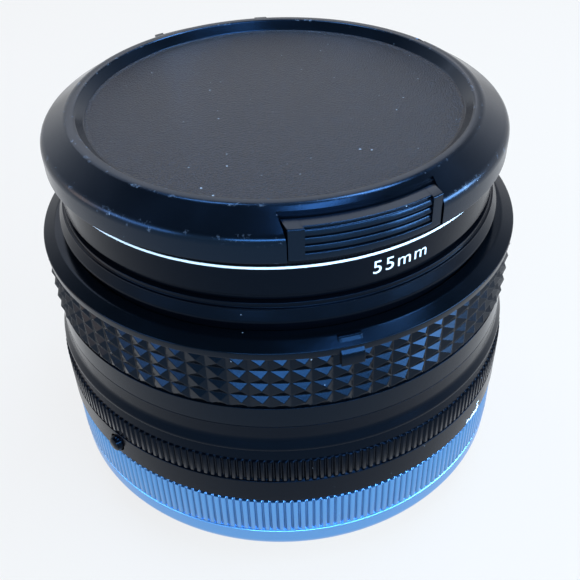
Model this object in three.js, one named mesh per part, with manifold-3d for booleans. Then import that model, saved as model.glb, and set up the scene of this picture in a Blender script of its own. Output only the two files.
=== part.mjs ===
// Manual-focus prime lens with a breech-lock mount, a screw-in filter and a clip-on front cap.
// Millimetres, +Z along the optical axis towards the subject, origin at the middle of the rear end.
// It stands on its rear tube. Focus is at infinity, the iris is wide open, filter and cap are on.
import * as THREE from "three";
import { mergeVertices } from "three/addons/utils/BufferGeometryUtils.js";
import Module from "manifold-3d";

const wasm = await Module();
wasm.setup();

// ---------- driving sizes ----------
const ringSegments = 36; // sides of a large turned ring
const innerSegments = 24; // sides of a glass element and of the cells and collars inside
const smallSegments = 10; // sides of a pin or a screw
const gap = 0.3; // between pieces that are assembled or run on each other

const tailRadius = 23.4;
const tailWall = 2.5;
const tailDrop = 4.6; // how far the rear tube stands out behind the breech ring
const throat = 0.4; // radial play of the camera's mount ring round the rear tube

const breechWall = 3.1;
const breechFront = 2.4; // of the breech ring in front of the seat plate
const lugDepth = 1.95;
const lugHeight = 1.7;
const lugHalfAngle = 18;

const seatDepth = 5.2; // from the breech ring's rear edge to the mount's seat face
const seatWidth = 3.35; // of the flat face that rests on the camera
const seatPlate = 2.1;
const mountScrewRadius = 0.95;

const gripStep = 3.45; // the focus ring's grip stands out from the nose by this
const apertureProud = 0.5; // the aperture ring stands out from the grip
const apertureHeight = 9.1;
const apertureShoulder = 1.6;
const depthHeight = 3.6;
const depthWaist = 0.35; // the depth ring lies below the grip
const depthFlare = 0.6;
const depthFlareHeight = 1.4;
const focusHeight = 12.6;
const focusWall = 2.25;
const bevelHeight = 0.7;
const bevelWidth = 1.65;
const indexLugAngle = -76.3;
const indexLugHalfAngle = 2.6;
const indexLugHeight = 3.3;
const indexLugProud = 0.5;

const barrelStep = 2.5; // from the breech ring's bore in to the static tube
const retainingLip = 1.5; // on the static tube, which holds the breech ring
const barrelWall = 2.0; // static tube inside the aperture ring
const bearingWall = 1.7;
const bearingHeight = 10.7;
const lensTubeWall = 2.1;

const noseStep = 4.2; // from the lens tube out to the nose
const noseNeck = 1.4; // bare neck between the focus ring and the hood flange
const hoodFlangeProud = 0.9;
const hoodFlangeHeight = 0.8;
const noseFront = 1.6; // from the hood flange to the front edge
const threadWall = 1.1;
const filterThreadDepth = 3.0;
const threadRelief = 0.4; // under the filter's skirt

const filterRimWall = 1.0;
const filterHeight = 5.5;
const filterFoot = 1.3; // grooved lower band of the filter's rim
const filterGlassThickness = 1.8;

const capOverhang = 1.3;
const capFootChamfer = 0.3;
const capSideHeight = 3.0;
const capConeHeight = 1.7;
const capConeWidth = 2.8;
const capRimHeight = 0.5;
const capRimWidth = 1.0;
const capRecess = 1.4;
const capDisc = 1.2;
const tabAngles = { cap_tab_front: -71, cap_tab_back: 109 };
const tabHalfWidth = 8.9;
const tabTravel = 1.8;
const tabHeight = 4.0;

const focusTravel = 5.4;
const focusTurn = 140;
const apertureTurn = 66;
const bladeCount = 5;
const bladeThickness = 0.25;
const bladePitch = 0.45;
const bladeWidth = 3.4;

const buttonAngle = -135;
const buttonRadius = 1.15;
const buttonProud = 0.8;
const buttonTravel = 0.9;

// ---------- radii that follow, from the rear tube out and on to the front ----------
const tailBore = tailRadius - tailWall;
const seatInner = tailRadius + throat;
const seatOuter = seatInner + seatWidth;
const breechBore = seatOuter + gap + lugDepth;
const breechRadius = breechBore + breechWall;
const tubeOuter = breechBore - barrelStep; // static tube inside breech and aperture rings
const tubeBore = tubeOuter - barrelWall;
const retainerRadius = tubeOuter + retainingLip;
const retainerClear = retainerRadius + 0.4; // bore of the rings that run round it
const lensTubeOuter = tubeBore - 0.4;
const lensTubeBore = lensTubeOuter - lensTubeWall;
const irisRadius = lensTubeBore - 3;
const noseRadius = lensTubeOuter + noseStep;
const gripRadius = noseRadius + gripStep;
const apertureRadius = gripRadius + apertureProud;
const depthRadius = gripRadius - depthWaist;
const hoodFlangeRadius = noseRadius + hoodFlangeProud;
const filterThreadRadius = noseRadius - threadWall;
const filterRadius = filterThreadRadius + filterRimWall;
const capRadius = filterRadius + capOverhang;
const capRimRadius = capRadius - capConeWidth;

// ---------- heights that follow ----------
const breechFoot = tailDrop;
const breechTop = breechFoot + seatDepth + seatPlate + breechFront;
const apertureFoot = breechTop + gap;
const apertureTop = apertureFoot + apertureHeight;
const depthFoot = apertureTop + gap;
const depthTop = depthFoot + depthHeight;
const focusFoot = depthTop + gap;
const focusTop = focusFoot + focusHeight;
const hoodFlangeFoot = focusTop + noseNeck;
const noseTop = hoodFlangeFoot + hoodFlangeHeight + noseFront;
const filterFootZ = noseTop + gap;
const filterTop = filterFootZ + filterHeight;
const capFoot = filterTop + gap;
const capSideTop = capFoot + capSideHeight;
const capConeTop = capSideTop + capConeHeight;
const capTop = capConeTop + capRimHeight;
const capDiscTop = capTop - capRecess;
const capUnderside = capDiscTop - capDisc;

const seatFace = breechFoot + seatDepth;
const seatTop = seatFace + seatPlate;
const gripBore = gripRadius - focusWall;
const bearingOuter = gripBore - gap;
const bearingBore = bearingOuter - bearingWall;
const bearingTop = depthFoot + bearingHeight;
const deckTop = depthFoot + 1.8; // top of the plate that carries the bearing
const helicoidOuter = bearingBore - gap;
const helicoidBore = lensTubeOuter + gap;
const noseFoot = focusTop - 1.1;
const plateTop = seatFace - 1.2; // rear baffle plate
const plateFoot = plateTop - 1.0;
const leverFoot = plateTop + gap;
const leverTop = leverFoot + 0.8;
const keyFoot = apertureFoot + 0.9;
const fingerFoot = keyFoot + 1.4; // lower end of the iris lever
const lensTubeFoot = fingerFoot;
const opticsBase = focusTop - 40; // every height of the optics counts from here
const lensTubeTop = noseFoot + gap;
const z = (height) => opticsBase + height;

// ---------- helpers ----------
const toRadians = THREE.MathUtils.degToRad;

// A ring or a solid of revolution about Z from (radius, height) points, up the outside and down the inside.
function turned(points, segments = ringSegments) {
  const outline = points.map(([r, z]) => new THREE.Vector2(r, z));
  const onAxis = points[0][0] === 0 && points.at(-1)[0] === 0;
  if (!onAxis) outline.push(outline[0].clone());
  return new THREE.LatheGeometry(outline, segments).rotateX(Math.PI / 2);
}

// A sector of a ring: from radius inner to outer, centred on an angle in degrees.
function sector(inner, outer, angle, halfAngle, low, high, steps = 6) {
  const from = toRadians(angle - halfAngle);
  const to = toRadians(angle + halfAngle);
  const shape = new THREE.Shape();
  shape.absarc(0, 0, outer, from, to, false);
  shape.absarc(0, 0, inner, to, from, true);
  shape.closePath();
  const options = { depth: high - low, bevelEnabled: false, curveSegments: steps };
  return new THREE.ExtrudeGeometry(shape, options).translate(0, 0, low);
}

function block(width, depth, height, x, y, z) {
  return new THREE.BoxGeometry(width, depth, height).translate(x, y, z);
}

// A rod along +X between two distances from the axis, turned to an angle about Z.
function radialRod(radius, from, to, z, angle) {
  const rod = new THREE.CylinderGeometry(radius, radius, to - from, smallSegments + 4);
  rod.rotateZ(Math.PI / 2).translate((from + to) / 2, 0, z);
  return rod.rotateZ(toRadians(angle));
}

function toSolid(geometry) {
  const bare = geometry.clone();
  bare.deleteAttribute("normal");
  bare.deleteAttribute("uv");
  const merged = mergeVertices(bare, 1e-4);
  const mesh = new wasm.Mesh({
    numProp: 3,
    vertProperties: new Float32Array(merged.attributes.position.array),
    triVerts: new Uint32Array(merged.index.array),
  });
  return new wasm.Manifold(mesh);
}

function toGeometry(solid) {
  const mesh = solid.getMesh();
  const geometry = new THREE.BufferGeometry();
  geometry.setAttribute("position", new THREE.BufferAttribute(mesh.vertProperties, 3));
  geometry.setIndex(new THREE.BufferAttribute(mesh.triVerts, 1));
  const flat = geometry.toNonIndexed();
  flat.computeVertexNormals();
  return flat;
}

const joined = (first, ...rest) =>
  toGeometry(rest.reduce((sum, piece) => sum.add(toSolid(piece)), toSolid(first)));
const cut = (first, ...rest) =>
  toGeometry(rest.reduce((left, tool) => left.subtract(toSolid(tool)), toSolid(first)));
const common = (first, second) => toGeometry(toSolid(first).intersect(toSolid(second)));

const around = (count, make, start = 0) =>
  Array.from({ length: count }, (_, i) => make(start + (360 / count) * i, i));
const atAngle = (radius, angle) => [
  radius * Math.cos(toRadians(angle)),
  radius * Math.sin(toRadians(angle)),
];

// ---------- materials ----------
const finishes = {
  blackMetal: { color: 0x17191c, roughness: 0.42, metalness: 0.6 },
  blackPlastic: { color: 0x141517, roughness: 0.5, metalness: 0 },
  innerBlack: { color: 0x0d0d0e, roughness: 0.85, metalness: 0 },
  satinChrome: { color: 0xc4c8cc, roughness: 0.32, metalness: 1 },
  steel: { color: 0xa9adb2, roughness: 0.35, metalness: 1 },
  brass: { color: 0xa98a4c, roughness: 0.4, metalness: 1 },
  aluminium: { color: 0xb4b6b8, roughness: 0.45, metalness: 1 },
  glass: { color: 0xdfeaf0, roughness: 0.02, metalness: 0, transparent: true, opacity: 0.35 },
};

const part = new THREE.Group();
part.name = "breech_lock_prime_lens";

function addMesh(name, geometry, finish) {
  const mesh = new THREE.Mesh(geometry, new THREE.MeshStandardMaterial(finishes[finish]));
  mesh.name = name;
  part.add(mesh);
  return mesh;
}

// ---------- static body ----------
const tailLip = 0.9; // flange at the front end of the rear tube, which holds the baffle plate
const lipBore = tailBore - 2.6;
const plateScrewRadius = (tailBore + lipBore) / 2 - 0.1;

function rearTube() {
  const tube = turned([
    [tailRadius, 0.4],
    [tailRadius, seatFace],
    [lipBore, seatFace],
    [lipBore, seatFace - tailLip],
    [tailBore, seatFace - tailLip],
    [tailBore, 0],
    [tailRadius - 0.4, 0],
  ]);
  const holes = around(3, (angle) => {
    const [x, y] = atAngle(plateScrewRadius, angle);
    const depth = tailLip - 0.2;
    const hole = new THREE.CylinderGeometry(0.8, 0.8, depth + 0.2, smallSegments);
    return hole.rotateX(Math.PI / 2).translate(x, y, seatFace - tailLip + depth / 2 - 0.1);
  }, plateScrewStart);
  return cut(tube, ...holes);
}

const plateScrewStart = 30;
const signalAngle = 125; // where the signal lever stands with the iris open
const autoAngle = 20;
const autoTurn = 25;
const rearCellRadius = lipBore - 6.1; // leaves room for the two levers round the rear lens cell
const signalRing = { inner: lipBore - 1.7, outer: lipBore - gap };
const autoRing = { inner: rearCellRadius + 0.8, outer: signalRing.inner - 0.4 };
const tabHalfAngle = 6;

// Baffle plate across the rear tube, with arc slots for the two levers.
function rearPlate() {
  const plate = turned([
    [tailBore - gap, plateFoot],
    [tailBore - gap, plateTop],
    [rearCellRadius + 0.4, plateTop],
    [rearCellRadius + 0.4, plateFoot],
  ], innerSegments);
  const slot = (tab, start, turn) =>
    sector(
      tab.inner - 0.4,
      tab.outer + 0.4,
      start + turn / 2,
      turn / 2 + tabHalfAngle + 3,
      plateFoot - 1,
      plateTop + 1,
      12,
    );
  const holes = around(3, (angle) => {
    const [x, y] = atAngle(plateScrewRadius, angle);
    const hole = new THREE.CylinderGeometry(0.85, 0.85, 4, smallSegments);
    return hole.rotateX(Math.PI / 2).translate(x, y, plateTop);
  }, plateScrewStart);
  return cut(
    plate,
    slot(signalTab, signalAngle, apertureTurn),
    slot(autoTab, autoAngle, autoTurn),
    ...holes,
  );
}

const signalTab = { inner: signalRing.inner + 0.2, outer: signalRing.outer - 0.1 };
const autoTab = { inner: autoRing.inner + 1, outer: autoRing.outer - 1 };

function lever(ring, tab, angle) {
  const collar = turned([
    [ring.outer, leverFoot],
    [ring.outer, leverTop],
    [ring.inner, leverTop],
    [ring.inner, leverFoot],
  ], innerSegments);
  const finger = sector(tab.inner, tab.outer, angle, tabHalfAngle, 1.0, leverFoot + 0.4, 4);
  return joined(collar, finger);
}

// Screw with a slotted head, its head downwards, from the head's face up.
function screw(x, y, foot, headRadius, headHeight, shankRadius, length) {
  const body = turned(
    [
      [0, foot],
      [headRadius, foot],
      [headRadius, foot + headHeight],
      [shankRadius, foot + headHeight],
      [shankRadius, foot + length],
      [0, foot + length],
    ],
    smallSegments,
  );
  const slot = block(headRadius * 3, 0.35, headHeight * 0.8, 0, 0, foot);
  return cut(body, slot).translate(x, y, 0);
}

const mountScrewCircle = (tubeOuter + tubeBore) / 2 - 0.05;

function mountFlange() {
  const plate = turned([
    [breechBore - 0.4, seatFace + 0.7],
    [breechBore - 0.4, seatTop],
    [tailBore, seatTop],
    [tailBore, seatFace + gap],
    [seatInner, seatFace + gap],
    [seatInner, seatFace],
    [seatOuter, seatFace],
    [seatOuter, seatFace + 0.7],
  ]);
  const holes = around(4, (angle) => {
    const [x, y] = atAngle(mountScrewCircle, angle);
    const hole = new THREE.CylinderGeometry(
      mountScrewRadius + 0.15,
      mountScrewRadius + 0.15,
      seatPlate + 2,
      smallSegments + 2,
    );
    return hole.rotateX(Math.PI / 2).translate(x, y, seatFace + seatPlate / 2);
  }, 45);
  return cut(plate, ...holes);
}

const keyAngle = 110; // where the aperture key stands with the iris open
const keyHalfAngle = 4;
const guideAngles = [0, 180];
const stopPinAngle = -30;

function mainBarrel() {
  const shell = turned([
    [tubeOuter, seatTop + gap],
    [tubeOuter, breechTop],
    [retainerRadius, breechTop],
    [retainerRadius, breechTop + 0.8],
    [tubeOuter, breechTop + 0.8],
    [tubeOuter, depthFoot],
    [bearingOuter, depthFoot],
    [bearingOuter, bearingTop],
    [bearingBore, bearingTop],
    [bearingBore, deckTop],
    [tubeBore, deckTop],
    [tubeBore, seatTop + gap],
  ]);
  const keySlot = sector(
    tubeBore - 1,
    tubeOuter + 1,
    keyAngle + apertureTurn / 2,
    apertureTurn / 2 + keyHalfAngle + 3,
    keyFoot - gap,
    keyFoot + 1.0 + gap,
    12,
  );
  const screwHoles = around(4, (angle) => {
    const [x, y] = atAngle(mountScrewCircle, angle);
    const hole = new THREE.CylinderGeometry(0.75, 0.75, 2.4, smallSegments);
    return hole.rotateX(Math.PI / 2).translate(x, y, seatTop + gap + 0.6);
  }, 45);
  const [px, py] = atAngle((bearingOuter + bearingBore) / 2, stopPinAngle);
  const pinHole = new THREE.CylinderGeometry(0.85, 0.85, 3, smallSegments);
  pinHole.rotateX(Math.PI / 2).translate(px, py, bearingTop);
  return cut(shell, keySlot, pinHole, ...screwHoles);
}

// Pin on the bearing's rim that stops the focus ring at both ends of its turn.
function focusStop() {
  const [x, y] = atAngle((bearingOuter + bearingBore) / 2, stopPinAngle);
  const low = bearingTop - 1.2;
  const high = bearingTop + 1.3;
  const pin = turned([[0, low], [0.6, low], [0.6, high], [0, high]], smallSegments);
  return pin.translate(x, y, 0);
}

function depthScaleRing() {
  return turned([
    [depthRadius + depthFlare, depthFoot],
    [depthRadius + depthFlare, depthFoot + 0.3],
    [depthRadius, depthFoot + depthFlareHeight],
    [depthRadius, depthTop],
    [gripBore, depthTop],
    [gripBore, depthFoot],
  ]);
}

addMesh("rear_tube", rearTube(), "innerBlack");
addMesh("rear_plate", rearPlate(), "innerBlack");
addMesh("mount_flange", mountFlange(), "satinChrome");
addMesh("main_barrel", mainBarrel(), "blackMetal");
addMesh("depth_scale_ring", depthScaleRing(), "blackMetal");
addMesh("focus_stop_pin", focusStop(), "steel");

around(3, (angle, i) => {
  const [x, y] = atAngle(plateScrewRadius, angle);
  const geometry = screw(x, y, plateFoot - 0.7, 0.85, 0.55, 0.55, 2.2);
  addMesh(`plate_screw_${i + 1}`, geometry, "steel");
}, plateScrewStart);

around(4, (angle, i) => {
  const [x, y] = atAngle(mountScrewCircle, angle);
  const geometry = screw(x, y, seatFace + 0.1, mountScrewRadius, 0.9, 0.5, 3.5);
  addMesh(`mount_screw_${i + 1}`, geometry, "steel");
}, 45);

guideAngles.forEach((angle, i) => {
  const top = deckTop - 0.7;
  const foot = top - focusTravel - 1.0;
  const key = sector(lensTubeBore + 0.4, tubeBore - gap, angle, 4, foot, top, 3);
  addMesh(`guide_key_${i + 1}`, key, "brass");
});

const pinPlaces = { speed_pin: [tailBore - 5.3, -75, 3.1], switch_pin: [tailBore - 3.5, -120, 4.0] };
for (const [name, [radius, angle, length]] of Object.entries(pinPlaces)) {
  const [x, y] = atAngle(radius, angle);
  const top = plateFoot - gap;
  const pin = turned(
    [
      [0, top - length],
      [0.5, top - length + 0.1],
      [0.8, top - length + 0.5],
      [0.8, top],
      [0, top],
    ],
    smallSegments,
  );
  addMesh(name, pin.translate(x, y, 0), "steel");
}

// ---------- breech ring ----------
function breechRing() {
  const lipBoreRadius = tubeOuter + 0.4;
  const ring = turned([
    [breechRadius, breechFoot],
    [breechRadius, breechTop - 0.4],
    [breechRadius - 0.5, breechTop],
    [retainerClear, breechTop],
    [retainerClear, breechTop - gap],
    [lipBoreRadius, breechTop - gap],
    [lipBoreRadius, seatTop + 0.35],
    [breechBore, seatTop + 0.35],
    [breechBore, breechFoot],
  ]);
  const lugs = around(3, (angle) => {
    const inner = breechBore - lugDepth;
    const low = breechFoot + gap;
    return sector(inner, breechBore + 0.8, angle, lugHalfAngle, low, low + lugHeight, 6);
  }, 60);
  return joined(ring, ...lugs);
}
addMesh("breech_ring", breechRing(), "satinChrome");

// ---------- aperture ring ----------
const buttonHeight = apertureFoot + buttonRadius + 0.65;
const buttonFoot = apertureRadius - 2.3; // inner end of the button

function apertureRing() {
  const web = tubeOuter + gap;
  const ring = turned([
    [apertureRadius, apertureFoot],
    [apertureRadius, apertureTop - apertureShoulder],
    [apertureRadius - 0.6, apertureTop],
    [gripBore + 0.3, apertureTop],
    [gripBore + 0.3, keyFoot + 1.3],
    [web, keyFoot + 1.3],
    [web, keyFoot],
    [retainerClear, keyFoot],
    [retainerClear, apertureFoot],
  ]);
  const inner = buttonFoot - buttonTravel - 0.4;
  return cut(ring, radialRod(buttonRadius + 0.2, inner, apertureRadius + 2, buttonHeight, buttonAngle));
}

const tines = { inner: lensTubeBore - 2.2, outer: lensTubeBore - 0.7 };

// Fork that carries the ring's turn to the iris lever, which slides in it as the lens focuses.
function apertureKey() {
  const foot = sector(tines.inner, tubeOuter, keyAngle, keyHalfAngle, keyFoot, keyFoot + 1.0, 3);
  const tineTop = fingerFoot + focusTravel + 0.9;
  const tine = (side) =>
    sector(tines.inner + 0.1, tines.outer, keyAngle + 3.3 * side, 0.8, keyFoot, tineTop, 2);
  return joined(foot, tine(-1), tine(1));
}

function lockButton() {
  const face = apertureRadius + buttonProud;
  const profile = [
    [0, buttonFoot],
    [buttonRadius, buttonFoot],
    [buttonRadius, face - 0.3],
    [buttonRadius - 0.3, face],
    [0, face],
  ];
  const button = turned(profile, smallSegments + 4);
  return button.rotateY(Math.PI / 2).translate(0, 0, buttonHeight).rotateZ(toRadians(buttonAngle));
}
addMesh("aperture_ring", apertureRing(), "blackMetal");
addMesh("aperture_key", apertureKey(), "brass");
addMesh("lock_button", lockButton(), "blackMetal");
addMesh("signal_lever", lever(signalRing, signalTab, signalAngle), "steel");
addMesh("auto_lever", lever(autoRing, autoTab, autoAngle), "steel");

// ---------- focusing ----------
function focusRing() {
  const ring = turned([
    [gripRadius, focusFoot],
    [gripRadius, focusTop - bevelHeight],
    [gripRadius - bevelWidth, focusTop],
    [noseRadius + gap, focusTop],
    [noseRadius + gap, noseFoot],
    [gripBore, noseFoot],
    [gripBore, focusFoot],
  ]);
  const top = focusTop + 0.1;
  const lug = sector(
    gripBore + 0.3,
    gripRadius + indexLugProud,
    indexLugAngle,
    indexLugHalfAngle,
    top - indexLugHeight,
    top,
    4,
  );
  return joined(ring, lug);
}

function helicoidRing() {
  const ring = turned([
    [helicoidOuter, deckTop + gap],
    [helicoidOuter, bearingTop + 0.4],
    [bearingOuter, bearingTop + 0.4],
    [bearingOuter, noseFoot - gap],
    [helicoidBore, noseFoot - gap],
    [helicoidBore, deckTop + gap],
  ]);
  const groove = sector(
    helicoidOuter + 0.2,
    bearingOuter + 1,
    stopPinAngle - focusTurn / 2,
    focusTurn / 2 + 3,
    bearingTop - 1,
    bearingTop + 1.7,
    12,
  );
  return cut(ring, groove);
}

function lensTube() {
  const shelf = z(26.2);
  const tube = turned([
    [lensTubeOuter, lensTubeFoot],
    [lensTubeOuter, lensTubeTop],
    [lensTubeBore, lensTubeTop],
    [lensTubeBore, shelf + 1.2],
    [lensTubeBore - 2.4, shelf + 1.2],
    [lensTubeBore - 2.4, shelf],
    [lensTubeBore, shelf],
    [lensTubeBore, lensTubeFoot],
  ]);
  const keyways = guideAngles.map((angle) =>
    sector(lensTubeBore - 1, lensTubeOuter + 1, angle, 5, lensTubeFoot - 1, deckTop - 0.1, 3),
  );
  return cut(tube, ...keyways);
}
addMesh("focus_ring", focusRing(), "blackPlastic");
addMesh("helicoid_ring", helicoidRing(), "brass");
addMesh("lens_tube", lensTube(), "aluminium");

// ---------- front of the lens ----------
function frontNose() {
  const flangeTop = hoodFlangeFoot + hoodFlangeHeight;
  return turned([
    [noseRadius, noseFoot],
    [noseRadius, hoodFlangeFoot],
    [hoodFlangeRadius, hoodFlangeFoot],
    [hoodFlangeRadius, flangeTop],
    [noseRadius + 0.3, flangeTop + 0.3],
    [noseRadius + 0.3, noseTop - 0.7],
    [noseRadius, noseTop - 0.7],
    [noseRadius, noseTop],
    [filterThreadRadius, noseTop],
    [filterThreadRadius, noseTop - filterThreadDepth],
    [lensTubeOuter + gap, focusTop + 0.5],
    [lensTubeOuter + gap, noseFoot],
  ]);
}

const frontCellRadius = lensTubeBore - 5.2;
const frontLensRadius = frontCellRadius - 1.4;

function nameRing() {
  const outer = lensTubeOuter - 0.1;
  const inner = frontLensRadius - 0.5;
  return turned([
    [outer, focusTop + 0.2],
    [outer, focusTop + 0.9],
    [inner, focusTop - 2.0],
    [inner, focusTop - 2.7],
  ], innerSegments);
}
addMesh("front_nose", frontNose(), "blackMetal");
addMesh("name_ring", nameRing(), "blackMetal");

// ---------- optics ----------
// Points of a spherical surface from the axis out, to its clear radius, where it lies `drop` below
// its vertex. A positive drop is domed towards the front.
function surface({ vertex, drop, clear }, steps = 3) {
  const curve = (clear * clear + drop * drop) / (2 * drop);
  return Array.from({ length: steps + 1 }, (_, i) => {
    const r = (clear * i) / steps;
    return [r, vertex - curve + Math.sign(curve) * Math.sqrt(curve * curve - r * r)];
  });
}

function element(radius, front, rear) {
  const rearSide = surface({ clear: radius, ...rear });
  const frontSide = surface({ clear: radius, ...front });
  const rim = [];
  if (rear.land) rim.push([radius, rearSide.at(-1)[1] + rear.land]);
  if (front.land) rim.push([radius, frontSide.at(-1)[1] - front.land]);
  return turned([...rearSide, ...rim, ...frontSide.reverse()], innerSegments);
}

const cement = 0.15; // the parting between two cemented elements
const pairRadius = frontCellRadius - 4.3;
const rearLensRadius = rearCellRadius - 1.2;
const rearPairRadius = rearCellRadius - 1.9;
const frontPair = { vertex: z(30.8), drop: 1.2 };
const rearPair = { vertex: z(15.4), drop: 0.6 };
const hollowRear = { vertex: z(29.2), drop: 3.55, clear: pairRadius - 2.5, land: 1.7 };
const hollowFront = { vertex: z(16.6), drop: -3, clear: rearPairRadius - 1.3, land: 0.7 };
const lower = (face) => ({ ...face, vertex: face.vertex - cement });
const dome = (height, drop) => ({ vertex: z(height), drop });

addMesh("lens_1", element(frontLensRadius, dome(38.6, 3.9), dome(34.4, 0.6)), "glass");
addMesh("lens_2", element(pairRadius, dome(34.0, 3.75), frontPair), "glass");
addMesh("lens_3", element(pairRadius, lower(frontPair), hollowRear), "glass");
addMesh("lens_4", element(rearPairRadius, hollowFront, rearPair), "glass");
addMesh("lens_5", element(rearPairRadius, lower(rearPair), dome(11.4, -2.55)), "glass");
addMesh("lens_6", element(rearLensRadius, dome(10.6, 0.75), dome(7.4, -1.6)), "glass");

function frontCell() {
  return turned([
    [irisRadius, z(25.7)],
    [irisRadius, z(27.7)],
    [lensTubeBore - gap, z(27.7)],
    [lensTubeBore - gap, z(28.9)],
    [frontCellRadius, z(28.9)],
    [frontCellRadius, z(37.2)],
    [frontLensRadius + gap, z(37.2)],
    [frontLensRadius + gap, z(33.4)],
    [pairRadius + gap, z(33.4)],
    [pairRadius + gap, z(26.3)],
    [pairRadius - 1, z(26.3)],
    [pairRadius - 1, z(25.7)],
  ], innerSegments);
}

function rearCell() {
  return turned([
    [rearCellRadius, z(6.4)],
    [rearCellRadius, z(17.6)],
    [rearCellRadius + 2.4, z(17.6)],
    [rearCellRadius + 2.4, z(19.1)],
    [rearPairRadius + gap, z(19.1)],
    [rearPairRadius + gap, z(13.4)],
    [rearPairRadius - 0.4, z(13.4)],
    [rearPairRadius - 0.4, z(12.6)],
    [rearLensRadius + gap, z(12.6)],
    [rearLensRadius + gap, z(6.4)],
  ], innerSegments);
}

function rearRetainer() {
  return turned([
    [rearLensRadius, z(7.3)],
    [rearLensRadius, z(8.3)],
    [rearLensRadius - 1, z(8.3)],
    [rearLensRadius - 1, z(7.3)],
  ], innerSegments);
}
addMesh("front_cell", frontCell(), "innerBlack");
addMesh("rear_cell", rearCell(), "innerBlack");
addMesh("rear_retainer", rearRetainer(), "innerBlack");

// ---------- iris ----------
const pivotCircle = irisRadius - 4;
const stopRadius = irisRadius - 8.8; // the iris's full opening
const bladeFoot = z(20.7);
const irisRingFoot = bladeFoot + bladeCount * bladePitch + 0.15;

function irisHousing() {
  const cup = turned([
    [irisRadius, z(19.4)],
    [irisRadius, z(25.4)],
    [irisRadius - 1.2, z(25.4)],
    [irisRadius - 1.2, z(20.3)],
    [irisRadius - 8.4, z(20.3)],
    [irisRadius - 8.4, z(19.4)],
  ], innerSegments);
  const armSlot = sector(
    irisRadius - 2.4,
    irisRadius + 1.6,
    keyAngle + apertureTurn / 2,
    apertureTurn / 2 + 6,
    irisRingFoot - gap,
    z(26),
    12,
  );
  const pins = around(bladeCount, (angle) => {
    const [x, y] = atAngle(pivotCircle, angle);
    const [low, high] = [z(19.9), irisRingFoot - 0.4];
    const pin = new THREE.CylinderGeometry(0.5, 0.5, high - low, smallSegments);
    return pin.rotateX(Math.PI / 2).translate(x, y, (low + high) / 2);
  });
  return joined(cut(cup, armSlot), ...pins);
}

function irisRing() {
  const top = irisRingFoot + 0.8;
  const plate = turned([
    [irisRadius - 1.5, irisRingFoot],
    [irisRadius - 1.5, top],
    [irisRadius - 8, top],
    [irisRadius - 8, irisRingFoot],
  ], innerSegments);
  const armEnd = tines.outer - 0.2;
  const arm = sector(irisRadius - 2.4, armEnd, keyAngle, 1.9, irisRingFoot, top, 2);
  const finger = sector(armEnd - 1, armEnd, keyAngle, 1.9, fingerFoot, top, 2);
  return joined(plate, arm, finger);
}

// One crescent leaf, pivoted at its first end, lying clear of the open iris.
function irisBlade(angle, layer) {
  const sweep = toRadians(84);
  const middle = stopRadius + bladeWidth / 2;
  const leaf = new THREE.Shape();
  leaf.absarc(0, 0, stopRadius + bladeWidth, 0, sweep, false);
  const [tipX, tipY] = [middle * Math.cos(sweep), middle * Math.sin(sweep)];
  leaf.absarc(tipX, tipY, bladeWidth / 2, sweep, sweep + Math.PI, false);
  leaf.absarc(0, 0, stopRadius, sweep, 0, true);
  leaf.closePath();
  const options = { depth: bladeThickness, bevelEnabled: false, curveSegments: 5 };
  const low = bladeFoot + layer * bladePitch;
  const sheet = new THREE.ExtrudeGeometry(leaf, options).translate(0, 0, low);
  const pad = new THREE.CylinderGeometry(1.9, 1.9, bladeThickness, smallSegments);
  pad.rotateX(Math.PI / 2).translate(pivotCircle, 0, low + bladeThickness / 2);
  const hole = new THREE.CylinderGeometry(0.8, 0.8, 2, smallSegments);
  hole.rotateX(Math.PI / 2).translate(pivotCircle, 0, low);
  return cut(joined(sheet, pad), hole).rotateZ(toRadians(angle));
}
addMesh("iris_housing", irisHousing(), "innerBlack");
addMesh("iris_ring", irisRing(), "brass");
around(bladeCount, (angle, i) => addMesh(`iris_blade_${i + 1}`, irisBlade(angle, i), "steel"));

// ---------- filter ----------
const filterBore = filterThreadRadius - 1.2;
const filterSkirt = filterThreadDepth + gap - threadRelief; // the part that screws into the nose
const glassFoot = filterFootZ + gap;
const retainerFoot = glassFoot + filterGlassThickness + gap;
const retainerTop = retainerFoot + 1.0;

function filterFrame() {
  const threadBore = filterThreadRadius - gap;
  return turned([
    [threadBore, filterFootZ - filterSkirt],
    [threadBore, filterFootZ],
    [filterRadius - 0.4, filterFootZ],
    [filterRadius - 0.4, filterFootZ + filterFoot],
    [filterRadius, filterFootZ + filterFoot],
    [filterRadius, filterTop],
    [threadBore, filterTop],
    [threadBore, retainerTop + 0.2],
    [filterBore, retainerTop + 0.2],
    [filterBore, filterFootZ],
    [filterBore - 1.4, filterFootZ],
    [filterBore - 1.4, filterFootZ - filterSkirt],
  ]);
}

function filterGlass() {
  const radius = filterBore - gap;
  const top = glassFoot + filterGlassThickness;
  return turned([[0, glassFoot], [radius, glassFoot], [radius, top], [0, top]]);
}

function filterRetainer() {
  return turned([
    [filterBore - gap, retainerFoot],
    [filterBore - gap, retainerTop],
    [filterBore - 1.5, retainerTop],
    [filterBore - 1.5, retainerFoot],
  ]);
}
addMesh("filter_frame", filterFrame(), "blackMetal");
addMesh("filter_glass", filterGlass(), "glass");
addMesh("filter_retainer", filterRetainer(), "blackMetal");

// ---------- cap ----------
const spigotOuter = filterThreadRadius - 2 * gap;
const spigotInner = spigotOuter - 1.1;
const spigotFoot = retainerTop + 0.7;
const tabPlay = 0.4; // round a release tab
const tabInner = capRimRadius + tabPlay;
const tabFoot = capFoot + 0.1;
const tabTop = tabFoot + tabHeight;
const pocketTop = tabTop + 0.3;

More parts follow.
